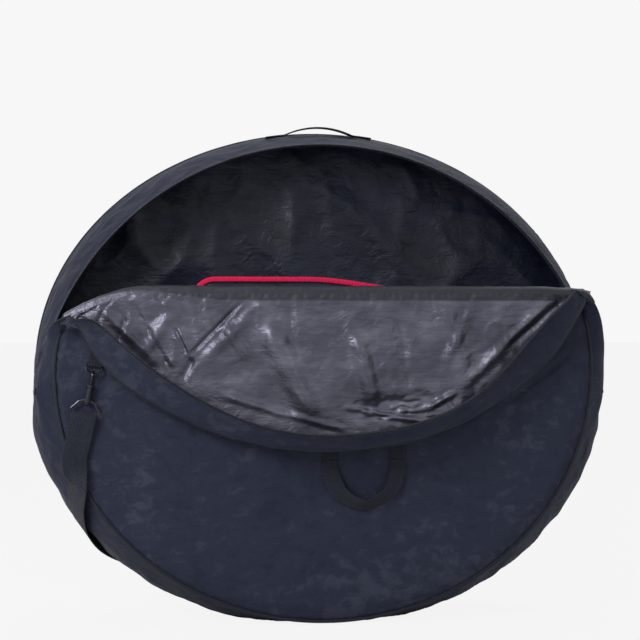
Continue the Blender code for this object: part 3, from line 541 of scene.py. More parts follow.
for node in ("snap_hook_left", "snap_hook_right", "hook_gate_left", "hook_gate_right", "strap_eye_left",
             "strap_eye_right", "d_ring_left", "d_ring_right", "zip_slider_left", "zip_slider_right",
             "zip_puller_left", "zip_puller_right", "strap_glide"):
    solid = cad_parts[node]
    solid.data.materials.clear()
    solid.data.materials.append(acetal if node == "strap_glide" else plated_metal)
    for face in solid.data.polygons:
        face.material_index = 0
print("hard finishes set on the CAD hardware")

# %% [markdown]
# ## The padded front
#
# The front is a quilt without quilting: outer cloth, 5 mm foam and a lining, all caught in the corded
# seam round the edge and free between. So it stands a little proud and ripples where the seam is
# shorter than the cloth. It is made as a closed slab and swollen with Blender's cloth simulation, with
# its edge pinned at the seam. Long pulls from the corners are then pressed in along drawn lines.

# %% Tools for padded pieces
def swollen(piece, pinned, pressure, growth, cap, frames=16, stiff=12.0):
    """Swell a closed slab with the cloth simulation. No point moves further than the cap."""
    start = places(piece)
    group = piece.vertex_groups.new(name="seam")
    group.add([int(place) for place in pinned], 1.0, "REPLACE")
    cloth = piece.modifiers.new("cloth", "CLOTH")
    settings = cloth.settings
    settings.quality = 5
    settings.vertex_group_mass = "seam"
    settings.use_pressure = True
    settings.uniform_pressure_force = pressure
    settings.shrink_min = -growth
    settings.tension_stiffness = settings.compression_stiffness = stiff
    settings.shear_stiffness = 4.0
    settings.bending_stiffness = 0.4
    settings.effector_weights.gravity = 0.0
    cloth.collision_settings.use_collision = False
    scene = bpy.context.scene
    for frame_number in range(1, frames + 1):
        scene.frame_set(frame_number)
    evaluated = piece.evaluated_get(bpy.context.evaluated_depsgraph_get())
    moved = np.empty(start.size)
    evaluated.data.vertices.foreach_get("co", moved)
    move = moved.reshape(-1, 3) - start
    length = np.linalg.norm(move, axis=1, keepdims=True)
    move *= np.minimum(1.0, cap / np.maximum(length, 1e-9))
    piece.modifiers.clear()
    piece.vertex_groups.clear()
    scene.frame_set(1)
    put(piece, start + move)
    print(piece.name, "swelled by up to", round(1000 * float(np.minimum(length, cap).max()), 1), "mm")


def pulls(x, z, lines):
    """Depth of drawn creases: each is (x, z, x, z, half width, depth), deepest in its middle."""
    depth = 0.0
    for x1, z1, x2, z2, width, deep in lines:
        along_x, along_z = x2 - x1, z2 - z1
        length = math.hypot(along_x, along_z)
        share = ((x - x1) * along_x + (z - z1) * along_z) / length ** 2
        away = ((x - x1) * along_z - (z - z1) * along_x) / length / width
        if -0.1 < share < 1.1 and abs(away) < 3:
            ends = ease(min(share + 0.1, 1.1 - share) / 0.3)
            depth += deep * ends * (1 - 0.9 * away * away) * math.exp(-away * away)
    return depth


def slab(name, face_rows, thickness, toward, *materials):
    """Closed slab from the rows of its outer face, with its inner face the thickness towards the inside and
    flat walls between.
    """
    count, length = len(face_rows), len(face_rows[0])
    shape = bmesh.new()
    front = [[shape.verts.new(point) for point in row] for row in face_rows]
    back = [[shape.verts.new(Vector(point) + toward * thickness) for point in row] for row in face_rows]
    def quads(grid, turned, index):
        for row, after in zip(grid, grid[1:]):
            for place in range(length - 1):
                corners = [row[place], row[place + 1], after[place + 1], after[place]]
                face = shape.faces.new(corners[::-1] if turned else corners)
                face.material_index = index
    quads(front, False, 0)
    quads(back, True, 1)
    ring = [(0, p) for p in range(length)] + [(r, length - 1) for r in range(1, count)]
    ring += [(count - 1, p) for p in range(length - 2, -1, -1)] + [(r, 0) for r in range(count - 2, 0, -1)]
    for (r, p), (s, q) in zip(ring, ring[1:] + ring[:1]):
        shape.faces.new((front[s][q], front[r][p], back[r][p], back[s][q]))
    shape.normal_update()
    shape.faces.ensure_lookup_table()
    middle = shape.faces[(count // 2) * (length - 1) + length // 2]
    if middle.normal.dot(toward) > 0:
        bmesh.ops.reverse_faces(shape, faces=shape.faces)
    shape.verts.index_update()
    edge = sorted({front[r][p].index for r, p in ring} | {vertex.index for row in back for vertex in row})
    mesh = bpy.data.meshes.new(name)
    shape.to_mesh(mesh)
    shape.free()
    return new_piece(name, mesh, *materials), edge, count * length


def seam_distance(x, z, half_width, half_tall):
    """Rough distance from a point of a face to its outline."""
    angle = math.atan2(x / half_width, (z - centre_height) / half_tall)
    edge_x, edge_z = ellipse_point(half_width, half_tall, angle)
    reach = math.hypot(edge_x, edge_z - centre_height)
    return reach - math.hypot(x, z - centre_height)


# %% The padded front
def front_rows(half_width, half_tall, top, columns, rows):
    """Rows of points on the front, from its level top edge down to the outline."""
    top_angle = math.acos((top - centre_height) / half_tall)
    grid = []
    for row in range(rows + 1):
        share = row / rows
        line = []
        for column in range(columns + 1):
            side = 2 * column / columns - 1
            angle = math.pi + side * (math.pi - top_angle) * 0.999
            x, z = ellipse_point(half_width, half_tall, angle)
            top_x = -math.sin(top_angle) * half_width * side
            x, z = top_x + (x - top_x) * share, top + (z - top) * share
            turn = -(math.pi - abs(angle - math.pi)) if side > 0 else math.pi - abs(angle - math.pi)
            line.append((x, z - max(corner_sag(x) * (1 - share) ** 3, corner_drop(turn))))
        grid.append(line)
    return grid


front_pulls = [(0.385, 0.455, 0.20, 0.30, 0.011, 0.0062), (0.39, 0.42, 0.27, 0.33, 0.008, 0.0050),
               (0.37, 0.36, 0.24, 0.25, 0.012, 0.0045), (0.33, 0.28, 0.16, 0.20, 0.014, 0.0040),
               (-0.30, 0.33, -0.20, 0.20, 0.013, 0.0036), (-0.30, 0.20, -0.12, 0.10, 0.015, 0.0034),
               (0.25, 0.16, 0.05, 0.09, 0.015, 0.0018), (-0.05, 0.20, -0.20, 0.25, 0.016, 0.0015)]


def kept_back(x, z):
    """1 where the handle, the strap's tab and the hook lie on the front, and 0 elsewhere."""
    near_handle = ease((0.155 - abs(x - handle_x)) / 0.06) * ease((z - 0.13) / 0.04) * ease((0.32 - z) / 0.03)
    near_hook = ease((0.10 - abs(x + 0.365)) / 0.04)
    near_fold = ease((z - 0.40) / 0.06)
    return max(near_handle, near_hook, near_fold)


inset = 0.0022
rows = front_rows(front_half_width - inset, half_height - inset, 0.5005, 150, 84)
face_y = -0.0922
front_face, seam, count = slab("front_face", [[(x, face_y, z) for x, z in row] for row in rows], 0.0046,
                               Vector((0, 1, 0)), outer_cloth, black_lining)
swollen(front_face, seam, 6.0, 0.012, 0.009)
points = places(front_face)
for index in range(count):
    x, y, z = points[index]
    near = seam_distance(x, z, front_half_width, half_height)
    free = ease(near / 0.030)
    proud = 0.0024 * free + 0.0042 * free * (1 - kept_back(x, z))
    ripple = 0.0011 * rough(x, 0, z, 0.055, 4.1) + 0.0006 * ridge(x, 0, z, 0.040, 7.7)
    pucker = 0.0007 * math.sin(near / 0.004) * math.exp(-near / 0.012) * rough(x, 0, z, 0.016, 2.2)
    low = min(y, face_y + 0.0008)
    y = max(low, face_y - 0.0028) - proud - (ripple * (1.6 - kept_back(x, z)) + pucker) * ease(near / 0.006)
    y += pulls(x, z, front_pulls) * (1 - 0.7 * kept_back(x, z))
    points[index, 1] = max(y, front_y - 0.0002 - 0.0052 * (1 - kept_back(x, z)))
put(front_face, points)
done(front_face, "bag", "outer_fabric", "front_panel", "front_panel_foam", "front_panel_lining")

# %% [markdown]
# ## The padded back and its crumpled lining
#
# The back is one full oval, padded like the front. From the front only its black lining shows, above the
# folded flap. Lining cloth is cut a little larger than the foam so that it never pulls, and the spare
# cloth lies in sharp, glossy crumples. A square grid bent into an oval keeps its quads almost square,
# which both the simulation and the crumples need.

# %% The padded back
def oval_rows(half_width, half_tall, columns, rows):
    """Rows of points on a full oval, from a square grid that is bent round."""
    grid = []
    for row in range(rows + 1):
        v = 1 - 2 * row / rows
        line = []
        for column in range(columns + 1):
            u = 2 * column / columns - 1
            line.append((half_width * u * math.sqrt(1 - v * v / 2),
                         centre_height + half_tall * v * math.sqrt(1 - u * u / 2)))
        grid.append(line)
    return grid


rows = oval_rows(back_half_width - inset, half_height - inset, 126, 110)
back_face, seam, count = slab("back_face", [[(x, 0.0920, z) for x, z in row] for row in rows], 0.0050,
                              Vector((0, -1, 0)), outer_cloth, black_lining)
swollen(back_face, seam, 6.0, 0.012, 0.009)
back_pulls = [(-0.40, 0.55, -0.18, 0.42, 0.014, 0.0030), (0.41, 0.50, 0.20, 0.36, 0.013, 0.0028),
              (0.30, 0.20, 0.08, 0.34, 0.016, 0.0022), (-0.28, 0.14, -0.05, 0.28, 0.015, 0.0024),
              (0.05, 0.72, 0.12, 0.52, 0.014, 0.0020), (-0.22, 0.68, -0.10, 0.50, 0.012, 0.0018)]
points = places(back_face)
for index in range(count):
    x, y, z = points[index]
    near = seam_distance(x, z, back_half_width, half_height)
    free = ease(near / 0.040)
    proud = 0.0046 * free
    ripple = 0.0018 * rough(x, 1, z, 0.075, 5.3) + 0.0011 * ridge(x, 1, z, 0.060, 9.2)
    pucker = 0.0008 * math.exp(-near / 0.014) * rough(x, 0, z, 0.018, 3.9)
    y = min(y, 0.0948) + proud + (ripple + pucker) * ease(near / 0.006)
    points[index, 1] = y - pulls(x, z, back_pulls)
put(back_face, points)
done(back_face, "bag", "outer_fabric", "back_panel", "back_panel_foam")

# %% The crumpled black lining
rows = oval_rows(back_half_width - 0.006, half_height - 0.006, 150, 130)
lining_rows = []
for row in rows:
    line = []
    for x, z in row:
        near = max(seam_distance(x, z, back_half_width, half_height), 0)
        free = ease(near / 0.035)
        bend = 0.03 * rough(x, 2, z, 0.09, 1.3)
        coarse = ridge(x + bend, 2, z * 0.7, 0.160, 3.4)
        middle = ridge(x - bend, 3, z * 0.8, 0.080, 6.1)
        fine = ridge(x, 4, z + bend, 0.040, 8.8)
        lift = free * (0.0085 * coarse + 0.0040 * middle + 0.0010 * fine) + 0.0012 * rough(x, 3, z, 0.03, 2)
        radial = math.atan2(x, z - centre_height)
        gather = 0.0010 * math.sin(radial * 95 + 3 * rough(x, 5, z, 0.05)) * math.exp(-near / 0.020)
        line.append((x, 0.0860 - max(lift + gather, 0.0), z))
    lining_rows.append(line)
back_lining = grid_piece("back_lining", lining_rows, black_lining)
walled(back_lining, 0.0006, offset=0.0)
done(back_lining, "bag", "inner_lining_cloth", "back_panel_lining")

# %% [markdown]
# ## The gusset
#
# The gusset is the long strip that joins the faces. It has no foam, so it bulges between the two corded
# seams and creases across its length, with short gathers along each seam. The lower strip runs full
# depth round the base. Above it the zip cuts the strip in two: a rear half, a flap half, and short side
# pieces between the zip's end and the fold. All are cloth outside and black lining inside.

# %% Gusset cloth
def facing(piece, hub):
    """Turn the faces of an open sheet so that they look away from a hub (x, None, z) or (x, y, z)."""
    total = 0.0
    for face in piece.data.polygons:
        away = [0.0 if h is None else c - h for c, h in zip(face.center, hub)]
        total += face.area * face.normal.dot(Vector(away))
    if total < 0:
        piece.data.flip_normals()
    return piece


def wrinkle(run, depth_share, seed, deep):
    """How far the gusset stands out at a distance along it, in metres."""
    edge = min(depth_share, 1 - depth_share) * 0.18
    free = ease(edge / 0.030)
    bend = 0.02 * rough(run, 0, depth_share, 0.3, seed + 4)
    long_folds = rough(run + bend, depth_share * 0.10, 0, 0.034, seed)
    sharp = ridge(run + 2 * bend, depth_share * 0.18, 0, 0.055, seed + 2)
    gather = math.exp(-edge / 0.012) * rough(run, 0.01 * depth_share, 0, 0.0085, seed + 6)
    folds = deep * free * (0.0026 * long_folds + 0.0042 * sharp - 0.0024)
    return folds + 0.0011 * gather * ease(edge / 0.003)


def gusset_piece(name, first_point, last_point, first_angle, last_angle, steps, across, bulge, seed, deep):
    """Strip between two edges, which are functions of a share from 0 to 1 along it."""
    rows = []
    run, before = 0.0, None
    for step in range(steps + 1):
        share = step / steps
        first, last = Vector(first_point(share)), Vector(last_point(share))
        middle = (first + last) / 2
        run += (middle - before).length if before is not None else 0.0
        before = middle
        angle = first_angle + (last_angle - first_angle) * share
        out = outward(angle)
        line = []
        for place in range(across + 1):
            s = place / across
            sewn = ease(min(share, 1 - share) * steps / 7)
            point = first.lerp(last, s) + out * (bulge(share, s) + sewn * wrinkle(run, s, seed, deep))
            line.append(Vector((point.x, point.y, max(point.z, 0.0004))))
        rows.append(line)
    return grid_piece(name, rows, shaded_gusset_cloth, black_lining)


def lower_edge(half_width, y):
    """Edge of the lower strip, which reaches a few millimetres under the strips above."""
    def edge(share):
        angle = end_angle - 0.014 + (2 * math.pi - 2 * end_angle + 0.028) * share
        x, z = ellipse_point(half_width, half_height, angle)
        return x, y, z
    return edge


def upper_section(s):
    """How far the strips above the zip's end stand out from a straight line across the gusset."""
    y = gusset_front_y + (gusset_back_y - gusset_front_y) * s
    front_x, _ = ellipse_point(front_half_width, half_height, end_angle)
    back_x, _ = ellipse_point(back_half_width, half_height, end_angle)
    zip_x = zip_radius * math.sin(zip_end_angle)
    if y < rim_edge_y:
        x = front_x + (zip_x - front_x) * (y - gusset_front_y) / (rim_edge_y - gusset_front_y)
    else:
        beyond = max((y - rear_edge_y) / (gusset_back_y - rear_edge_y), 0.0)
        x = zip_x + (back_x - zip_x) * beyond + 0.006 * math.sin(math.pi * beyond)
    return x - front_x - (back_x - front_x) * s


def lower_bulge(share, s):
    """The sides swell by 26 mm and the base by 16 mm, and the ends meet the strips above."""
    angle = end_angle + (2 * math.pi - 2 * end_angle) * share
    full = math.sin(math.pi * s) * (0.026 * abs(math.sin(angle)) + 0.016 * abs(math.cos(angle)))
    upper = upper_section(s)
    return upper + (full - upper) * ease(min(share, 1 - share) / 0.060)


lower = gusset_piece("gusset_lower", lower_edge(front_half_width, gusset_front_y),
                     lower_edge(back_half_width, gusset_back_y), end_angle, 2 * math.pi - end_angle,
                     330, 34, lower_bulge, 11.0, 0.6)
facing(lower, (0, None, centre_height))
walled(lower, cloth_wall, inner=1)
done(lower, "bag", "outer_fabric", "lower_gusset")


def back_seam_point(share):
    """Point of the rear strip's seam with the back, from the left (0) to the right (1)."""
    x, z = ellipse_point(back_half_width, half_height, end_angle * (2 * share - 1))
    return Vector((x, gusset_back_y, z))


rear = gusset_piece("gusset_rear", lambda share: zip_point(zip_end_angle * (2 * share - 1), rear_edge_y),
                    back_seam_point, -end_angle, end_angle, 260, 20,
                    lambda share, s: 0.006 * math.sin(math.pi * s), 23.0, 0.55)
facing(rear, (0, None, centre_height))
walled(rear, cloth_wall, inner=1)
done(rear, "bag", "outer_fabric", "rear_gusset")

# %% [markdown]
# ## The open flap
#
# The flap is the upper part of the front: the same quilted slab, with its pewter lining now outwards.
# It hangs from a soft fold, turned inside out, so the lining is loose and shows long slack creases where
# the cloth hangs from its corners. The rim is the front half of the gusset. It stands forward from the
# corded seam and leans up again, with half of the zip on its free edge.

# %% The flap's outline and face
def painted_fold_shade_share(x, z):
    """1 on the band of painted shade along the fold, which tapers away before the flap's left corner."""
    top = 0.4895 + 0.0020 * rough(x, 0, 0, 0.09, 33.0) + 0.13 * max(-0.16 - x, 0)
    return ease((z + corner_sag(x) - top) / 0.0030)


def mark_painted_fold_shade(piece):
    """Store the share of painted fold shade on each point, for the lining's material to read."""
    layer = piece.data.attributes.new("painted_fold_shade", "FLOAT", "POINT")
    layer.data.foreach_set("value", [painted_fold_shade_share(*vertex.co.xz) for vertex in piece.data.vertices])


def flap_droop(angle):
    """How far the loose flap sags below its cut outline: most near its left corner."""
    turn = math.degrees(angle)
    left, right = math.exp(-((turn + 52) / 13) ** 2), math.exp(-((turn - 55) / 10) ** 2)
    return 0.012 * left + 0.007 * right - 0.006 * math.exp(-(turn / 22) ** 2)


def flap_edge(angle, inward=0.0):
    """Point (x, z) of the closed flap's seam."""
    x, z = ellipse_point(flap_half_width - inward, half_height - inward, angle)
    return x, z + flap_droop(angle)


flap_gap, flap_middle_y, flap_rows, flap_columns = 0.0095, -0.1165, 66, 160
flap_start = fold_height + flap_gap
flap_angle = math.acos((flap_start - centre_height) / half_height)
rows = []
for row in range(flap_rows + 1):
    share = row / flap_rows
    line = []
    for column in range(flap_columns + 1):
        side = 2 * column / flap_columns - 1
        x, z = flap_edge(side * flap_angle * 0.998, 0.0026)
        top_x = (front_half_width + 0.012) * math.sin(flap_angle) * side
        x, z = top_x + (x - top_x) * share, flap_start + (z - flap_start) * share
        sunk = max((1 - share) ** 3, ease((abs(side) - 0.86) / 0.14))
        line.append(opened((x, -0.0884, z + corner_sag(x) * sunk)))
    rows.append(line)
flap_face, seam, count = slab("flap_face", rows, 0.0056, Vector((0, 1, 0)), silver_lining, outer_cloth)
swollen(flap_face, seam, 3.0, 0.030, 0.008, frames=18, stiff=8.0)
finer = flap_face.modifiers.new("finer", "SUBSURF")
finer.subdivision_type = "SIMPLE"
finer.levels = finer.render_levels = 1
settle(flap_face)

# %% Slack creases in the flap's lining
flap_creases = [
    (-0.232, 0.450, -0.214, 0.412, 0.0035, 0.0044), (-0.212, 0.408, -0.135, 0.486, 0.0036, 0.0046),
    (-0.225, 0.445, -0.205, 0.405, 0.0100, -0.0040), (-0.190, 0.400, -0.120, 0.470, 0.0120, -0.0045),
    (-0.205, 0.405, -0.222, 0.372, 0.0070, 0.0040), (-0.240, 0.470, -0.275, 0.415, 0.0120, -0.0050),
    (-0.305, 0.465, -0.316, 0.428, 0.0045, 0.0040), (-0.095, 0.455, -0.026, 0.318, 0.0220, -0.0120),
    (-0.158, 0.455, -0.122, 0.400, 0.0110, -0.0050), (0.040, 0.440, 0.066, 0.335, 0.0170, -0.0095),
    (0.172, 0.490, 0.208, 0.385, 0.0170, -0.0060), (-0.060, 0.480, -0.055, 0.420, 0.0100, 0.0040),
    (0.100, 0.470, 0.120, 0.350, 0.0120, 0.0040), (0.030, 0.330, 0.160, 0.305, 0.0055, -0.0046),
    (0.060, 0.315, 0.150, 0.322, 0.0040, 0.0030), (0.150, 0.330, 0.190, 0.352, 0.0060, -0.0050),
    (0.170, 0.350, 0.190, 0.325, 0.0050, 0.0030), (0.330, 0.485, 0.200, 0.360, 0.0100, -0.0040),
    (0.360, 0.495, 0.270, 0.420, 0.0070, 0.0030), (-0.340, 0.480, -0.260, 0.400, 0.0090, -0.0042),
    (-0.300, 0.495, -0.235, 0.380, 0.0070, 0.0028), (0.215, 0.480, 0.175, 0.400, 0.0080, -0.0030),
    (-0.060, 0.320, 0.020, 0.298, 0.0060, -0.0030), (-0.160, 0.350, -0.060, 0.318, 0.0075, -0.0034)
]
points = places(flap_face)
edge_set = set(seam)
free_points = [index for index in range(len(points)) if index not in edge_set]
front_points = [index for index in free_points if points[index][1] < flap_middle_y]
back_points = [index for index in free_points if points[index][1] >= flap_middle_y]
for index in front_points:
    x, y, z = points[index]
    closed_z = 2 * fold_height - z
    near = max(min(seam_distance(x, closed_z - 0.004, flap_half_width, half_height), 0.5), 0.0)
    hinge = max(fold_height - flap_gap - z, 0.0)
    free = ease(near / 0.020) * ease(hinge / 0.020)
    bend = 0.02 * rough(x, 0, z, 0.10, 3.0)
    slack = 0.0030 * rough(x + bend, 0, z * 0.55, 0.060, 12.4)
    slack += 0.0028 * ridge(x + bend, 0, z * 0.6, 0.075, 15.2)
    small = 0.0012 * ridge(x, 0, z * 0.7 + bend, 0.030, 17.7) + 0.0005 * rough(x, 0, z, 0.012, 5.5)
    gather = 0.0009 * math.exp(-near / 0.014) * rough(x * 1.3, 0, z, 0.011, 8.1) * ease(near / 0.003)
    swollen_y = min(max(y, -0.1236), -0.1190) * ease(near / 0.004) + y * (1 - ease(near / 0.004))
    pocket = math.exp(-((x - 0.09) / 0.055) ** 2 - ((z - 0.332 - 0.10 * (x - 0.09)) / 0.015) ** 2)
    crushed = pocket * (0.0050 + 0.0060 * ridge(x, 0, z * 1.6, 0.020, 61.0))
    y = swollen_y - free * (slack + small) - gather + free * (pulls(x, z, flap_creases) + crushed)
    points[index, 1] = min(max(y, -0.1380), -0.1178 if near > 0.004 else flap_middle_y)
for index in back_points:
    x, y, z = points[index]
    closed_z = 2 * fold_height - z
    near = max(seam_distance(x, closed_z - 0.004, flap_half_width, half_height), 0.0)
    free = ease(near / 0.030) * ease((fold_height - flap_gap - z) / 0.015)
    ripple = 0.0010 * rough(x, 2, z, 0.055, 21.0) + 0.0006 * ridge(x, 2, z, 0.045, 24.0)
    points[index, 1] = min(y + 0.0022 * free + ripple * free, -0.1125)
put(flap_face, points)
# Painted shade: a dark band on the flap's lining along the fold line.
mark_painted_fold_shade(flap_face)
done(flap_face, "flap", "flap_lining_cloth", "flap_panel", "flap_foam", "flap_lining")

# %% [markdown]
# ## The flap's rim and the soft fold
#
# The rim keeps the shape it has when the bag is closed, so it curls up towards the viewer and shows its
# outer face. The fold is the only unpadded place on the front. It is one strip of cloth laid round the
# fold line.

# %% The rim of the flap
def rim_curl(angle):
    """How far the loose rim curls up and back from where the zip would hold it."""
    turn = math.degrees(angle)
    left, right = math.exp(-((turn + 36) / 22) ** 2), math.exp(-((turn - 45) / 18) ** 2)
    curl = 0.017 * left + 0.012 * right + 0.005 * math.exp(-((turn - 6) / 18) ** 2)
    return curl * ease((math.degrees(zip_fold_angle) - abs(turn)) / 9) - 0.003


def rim_zip(angle, y, lift=0.0):
    """Point of the open flap's zip edge."""
    point = opened(zip_point(angle, y) + outward(angle) * lift)
    curl = rim_curl(angle)
    lean = ease((math.degrees(angle) - 22) / 28)
    point += Vector((-0.020 * lean, 0.007 * lean, 0.002 * lean))
    sunk = corner_sag(point.x) * ease((abs(angle) / zip_fold_angle - 0.80) / 0.20)
    return point + Vector((0, 0.5 * curl, curl - sunk))


def flap_seam_point(angle, y):
    """Point of the open flap's seam, sunk near the ends of the fold."""
    x, z = flap_edge(angle)
    near_end = ease((abs(angle) / fold_angle - 0.86) / 0.14)
    return opened((x, y, z + corner_sag(x) * near_end))


rim_reach, zip_reach = fold_angle - 0.004, zip_fold_angle - 0.004
rim_steps, rim_across, fold_steps = 240, 14, 180
rows = []
for step in range(rim_steps + 1):
    share = 2 * step / rim_steps - 1
    first = flap_seam_point(rim_reach * share, rim_seam_y)
    angle = zip_reach * share
    last = rim_zip(angle, rim_edge_y)
    run = 0.47 * (share + 1)
    droop = opened((math.sin(angle), 0, math.cos(angle))) - opened((0, 0, 0))
    line = []
    for place in range(rim_across + 1):
        s = place / rim_across
        edge = min(s, 1 - s)
        lines_along = 0.0011 * math.sin(s * 9.5 + 2.0 * rough(run, 0, 0, 0.12, 3.3)) * ease(edge / 0.15)
        puff = 0.0085 * math.sin(math.pi * s)
        puff += 1.1 * wrinkle(run, 0.15 + 0.7 * s, 41.0, 0.30) * ease(edge / 0.2)
        puff += 0.0024 * rough(run, s * 0.05, 0, 0.05, 44.0) * ease(edge / 0.2)
        puff *= ease((1 - abs(share)) / 0.05)
        line.append(first.lerp(last, s) + droop * (puff + lines_along))
    rows.append(line)
rim = grid_piece("flap_rim", rows, outer_cloth, black_lining)
facing(rim, (0, -0.05, 0.60))
walled(rim, cloth_wall, inner=1)
done(rim, "flap", "outer_fabric", "flap_gusset")

# %% The soft fold
def bend_at_fold(piece):
    """Bake the piece's transform into its mesh."""
    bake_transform(piece)


path = [(-0.0934, 0.4985)]
path += [(fold_y + 0.0122 * math.cos(turn), fold_height - 0.0055 + 0.0070 * math.sin(turn))
         for turn in np.linspace(0, math.pi, 18)]
path += [(-0.1186, 0.5030), (-0.1204, 0.4990), (-0.1206, 0.4945)]
rows = []
half_fold = (front_half_width - 0.001) * math.sin(fold_angle)
flap_fold = flap_half_width * math.sin(fold_angle)
for step in range(fold_steps + 1):
    share = 2 * step / fold_steps - 1
    line = []
    for place, (y, z) in enumerate(path):
        s = place / (len(path) - 1)
        out = Vector((0, y - fold_y, z - fold_height)).normalized()
        wave = 0.0016 * rough(share * 0.4, 0, s * 0.02, 0.045, 51.0)
        wave += 0.0012 * ridge(share * 0.4, 0, s * 0.03, 0.03, 5)
        reach = half_fold + (flap_fold - half_fold) * s
        line.append(Vector((reach * share, y, z - corner_sag(half_fold * share)))
                    + out * wave * math.sin(math.pi * s))
    rows.append(line)
fold_strip = grid_piece("flap_fold_strip", rows, silver_lining, outer_cloth)
facing(fold_strip, (None, fold_y, fold_height))
# Painted shade: a dark band on the strip's lining where it turns over the fold.
mark_painted_fold_shade(fold_strip)
walled(fold_strip, 0.0022, inner=1)
done(fold_strip, None, "flap_lining_cloth", "fold_roll")
bend_at_fold(fold_strip)

# %% [markdown]
# ## The side pieces
#
# Between the rim's ends and the zip's ends hangs one short slack piece of cloth on each side. It is made
# twice. An inner strip stays with the bag, just behind the seam. The outer piece and its length of tape
# run round the corner on to the flap, and slack lets them stand out in a soft puff.

# %% The side pieces, from the rim's ends round the corners
def front_seam_point(angle):
    """Point of the gusset's front seam, sunk near the ends of the fold."""
    x, z = ellipse_point(front_half_width, half_height, angle)
    return Vector((x, gusset_front_y, z - corner_drop(angle)))


def side_zip_point(share, y, side, lift=0.0):
    """Point of the zip between the fold (0) and its end (1), where the cloth hangs slack."""
    angle = side * (zip_fold_angle + (zip_end_angle - zip_fold_angle) * share)
    sunk = Vector((0, 0, corner_sag(side * corner_x) * (1 - share) ** 2))
    return zip_point(angle, y) + outward(angle) * lift - sunk


def shoulder_point(side, u, v):
    """Point between the rim's end (u = 0) and the zip's end (u = 1), from seam (v = 0) to zip (v = 1)."""
    def across(share):
        return front_seam_point(side * (fold_angle + (end_angle - fold_angle) * share)).lerp(
            side_zip_point(share, rim_edge_y, side), v)
    top = flap_seam_point(side * rim_reach, rim_seam_y).lerp(rim_zip(side * zip_reach, rim_edge_y), v)
    swing = (1 - min(u / 0.50, 1)) ** 2
    amount, reach = (0.025, 1.0) if side > 0 else (0.013, 0.75)
    puff = amount * math.sin(math.pi * min(u / reach, 1) ** 0.6)
    puff *= math.sin(0.72 * math.pi * min(max(v, 0), 1))
    return across(u) + (top - across(0)) * swing + Vector((side, 0, 0)) * puff


for side, label in ((-1, "left"), (1, "right")):
    rows = []
    for share in np.linspace(0, 1, 41):
        seam = front_seam_point(side * (fold_angle + (end_angle - fold_angle) * share))
        zip_side = side_zip_point(share, -0.0450, side)
        rows.append([seam.lerp(zip_side, v) - Vector((side * 0.0030, 0, 0)) for v in np.linspace(0, 1, 11)])
    piece = grid_piece("gusset_corner_" + label, rows, shaded_gusset_cloth, black_lining)
    facing(piece, (0, None, 0.40))
    walled(piece, 0.0012, inner=1)
    done(piece, "bag", "outer_fabric", "side_gusset_" + label)

    rows = []
    for u in np.linspace(0, 1, 61):
        loose = 1 - ease(u / 0.42)
        tuck = Vector((-side * 0.012, 0.004, -0.004)) * loose
        line = [shoulder_point(side, u, 0) + tuck + Vector((0, 0.0004, 0))]
        for v in np.linspace(0, 1, 15):
            folds = 0.0020 * rough(u * 0.16, v * 0.05, side, 0.034, 91.0)
            folds += 0.0024 * ridge(u * 0.16, v * 0.03, side, 0.045, 95.0)
            folds *= math.sin(math.pi * u) * ease(min(v, 1 - v) / 0.2)
            line.append(shoulder_point(side, u, v) + Vector((side, -0.5 * loose, 0.4 * loose)) * folds)
        rows.append(line)
    piece = grid_piece("gusset_side_" + label, rows, shaded_gusset_cloth, black_lining)
    facing(piece, (0, None, 0.40))
    walled(piece, cloth_wall, inner=1)
    done(piece, None, "outer_fabric")
    bend_at_fold(piece)

    rows = [[shoulder_point(side, u, 1 + 0.27 * place / 6) for place in range(7)]
            for u in np.linspace(0, 0.5, 31)]
    corner_tape = grid_piece("zip_tape_corner_" + label, rows, zip_tape_cloth)
    walled(corner_tape, tape_wall, offset=0.0)
    done(corner_tape, None, "zip_cloth")
    bend_at_fold(corner_tape)

# %% [markdown]
# ## Corded seams
#
# Each face is joined to the gusset by piping: a cord wrapped in a bias-cut strip of the outer cloth. It
# keeps the round outline stiff. It is a tube whose UV map runs along the seam, and its radius wavers by a
# tenth of a millimetre or two, as sewn piping does.

# %% Corded seams
def cord_tube(name, path_points, hub, radius, body, node, closed):
    """Piping along a path of points round a hub (x, z)."""
    sides = 10
    rows = []
    for index, point in enumerate(path_points):
        point = Vector(point)
        out = Vector((point.x - hub[0], 0, point.z - hub[1])).normalized()
        swell = radius * (1 + 0.07 * rough(0.4 * index, 0, 0, 1.7, 7.0))
        rows.append([point + swell * (math.cos(turn) * out + math.sin(turn) * Vector((0, 1, 0)))
                     for turn in np.linspace(0, 2 * math.pi, sides + 1)])
    piece = sealed(grid_piece(name, rows, piping_cloth, round_rows=closed), weld_distance)
    return done(piece, body, "piping_cord", node)


def round_the_face(half_width, y, first, last, steps):
    """Seam line on an outline."""
    line = []
    for step in range(steps + 1):
        angle = first + (last - first) * step / steps
        x, z = ellipse_point(half_width, half_height, angle)
        drop = corner_drop(math.atan2(math.sin(angle), math.cos(angle))) if y < 0 else 0
        line.append((x, y, z - drop))
    return line


hub = (0, centre_height)
seam_line = round_the_face(front_half_width, -piping_y, fold_angle, 2 * math.pi - fold_angle, 300)
cord_tube("piping_front", seam_line, hub, piping_radius, "bag", "front_piping", False)
seam_line = round_the_face(back_half_width, piping_y, 0, 2 * math.pi, 420)[:-1]
cord_tube("piping_back", seam_line, hub, piping_radius, "bag", "back_piping", True)
seam_line = [flap_seam_point((2 * step / 220 - 1) * rim_reach, -piping_y) for step in range(221)]
cord_tube("piping_flap", seam_line, (0, 0.64), piping_radius, "flap", "flap_piping", False)

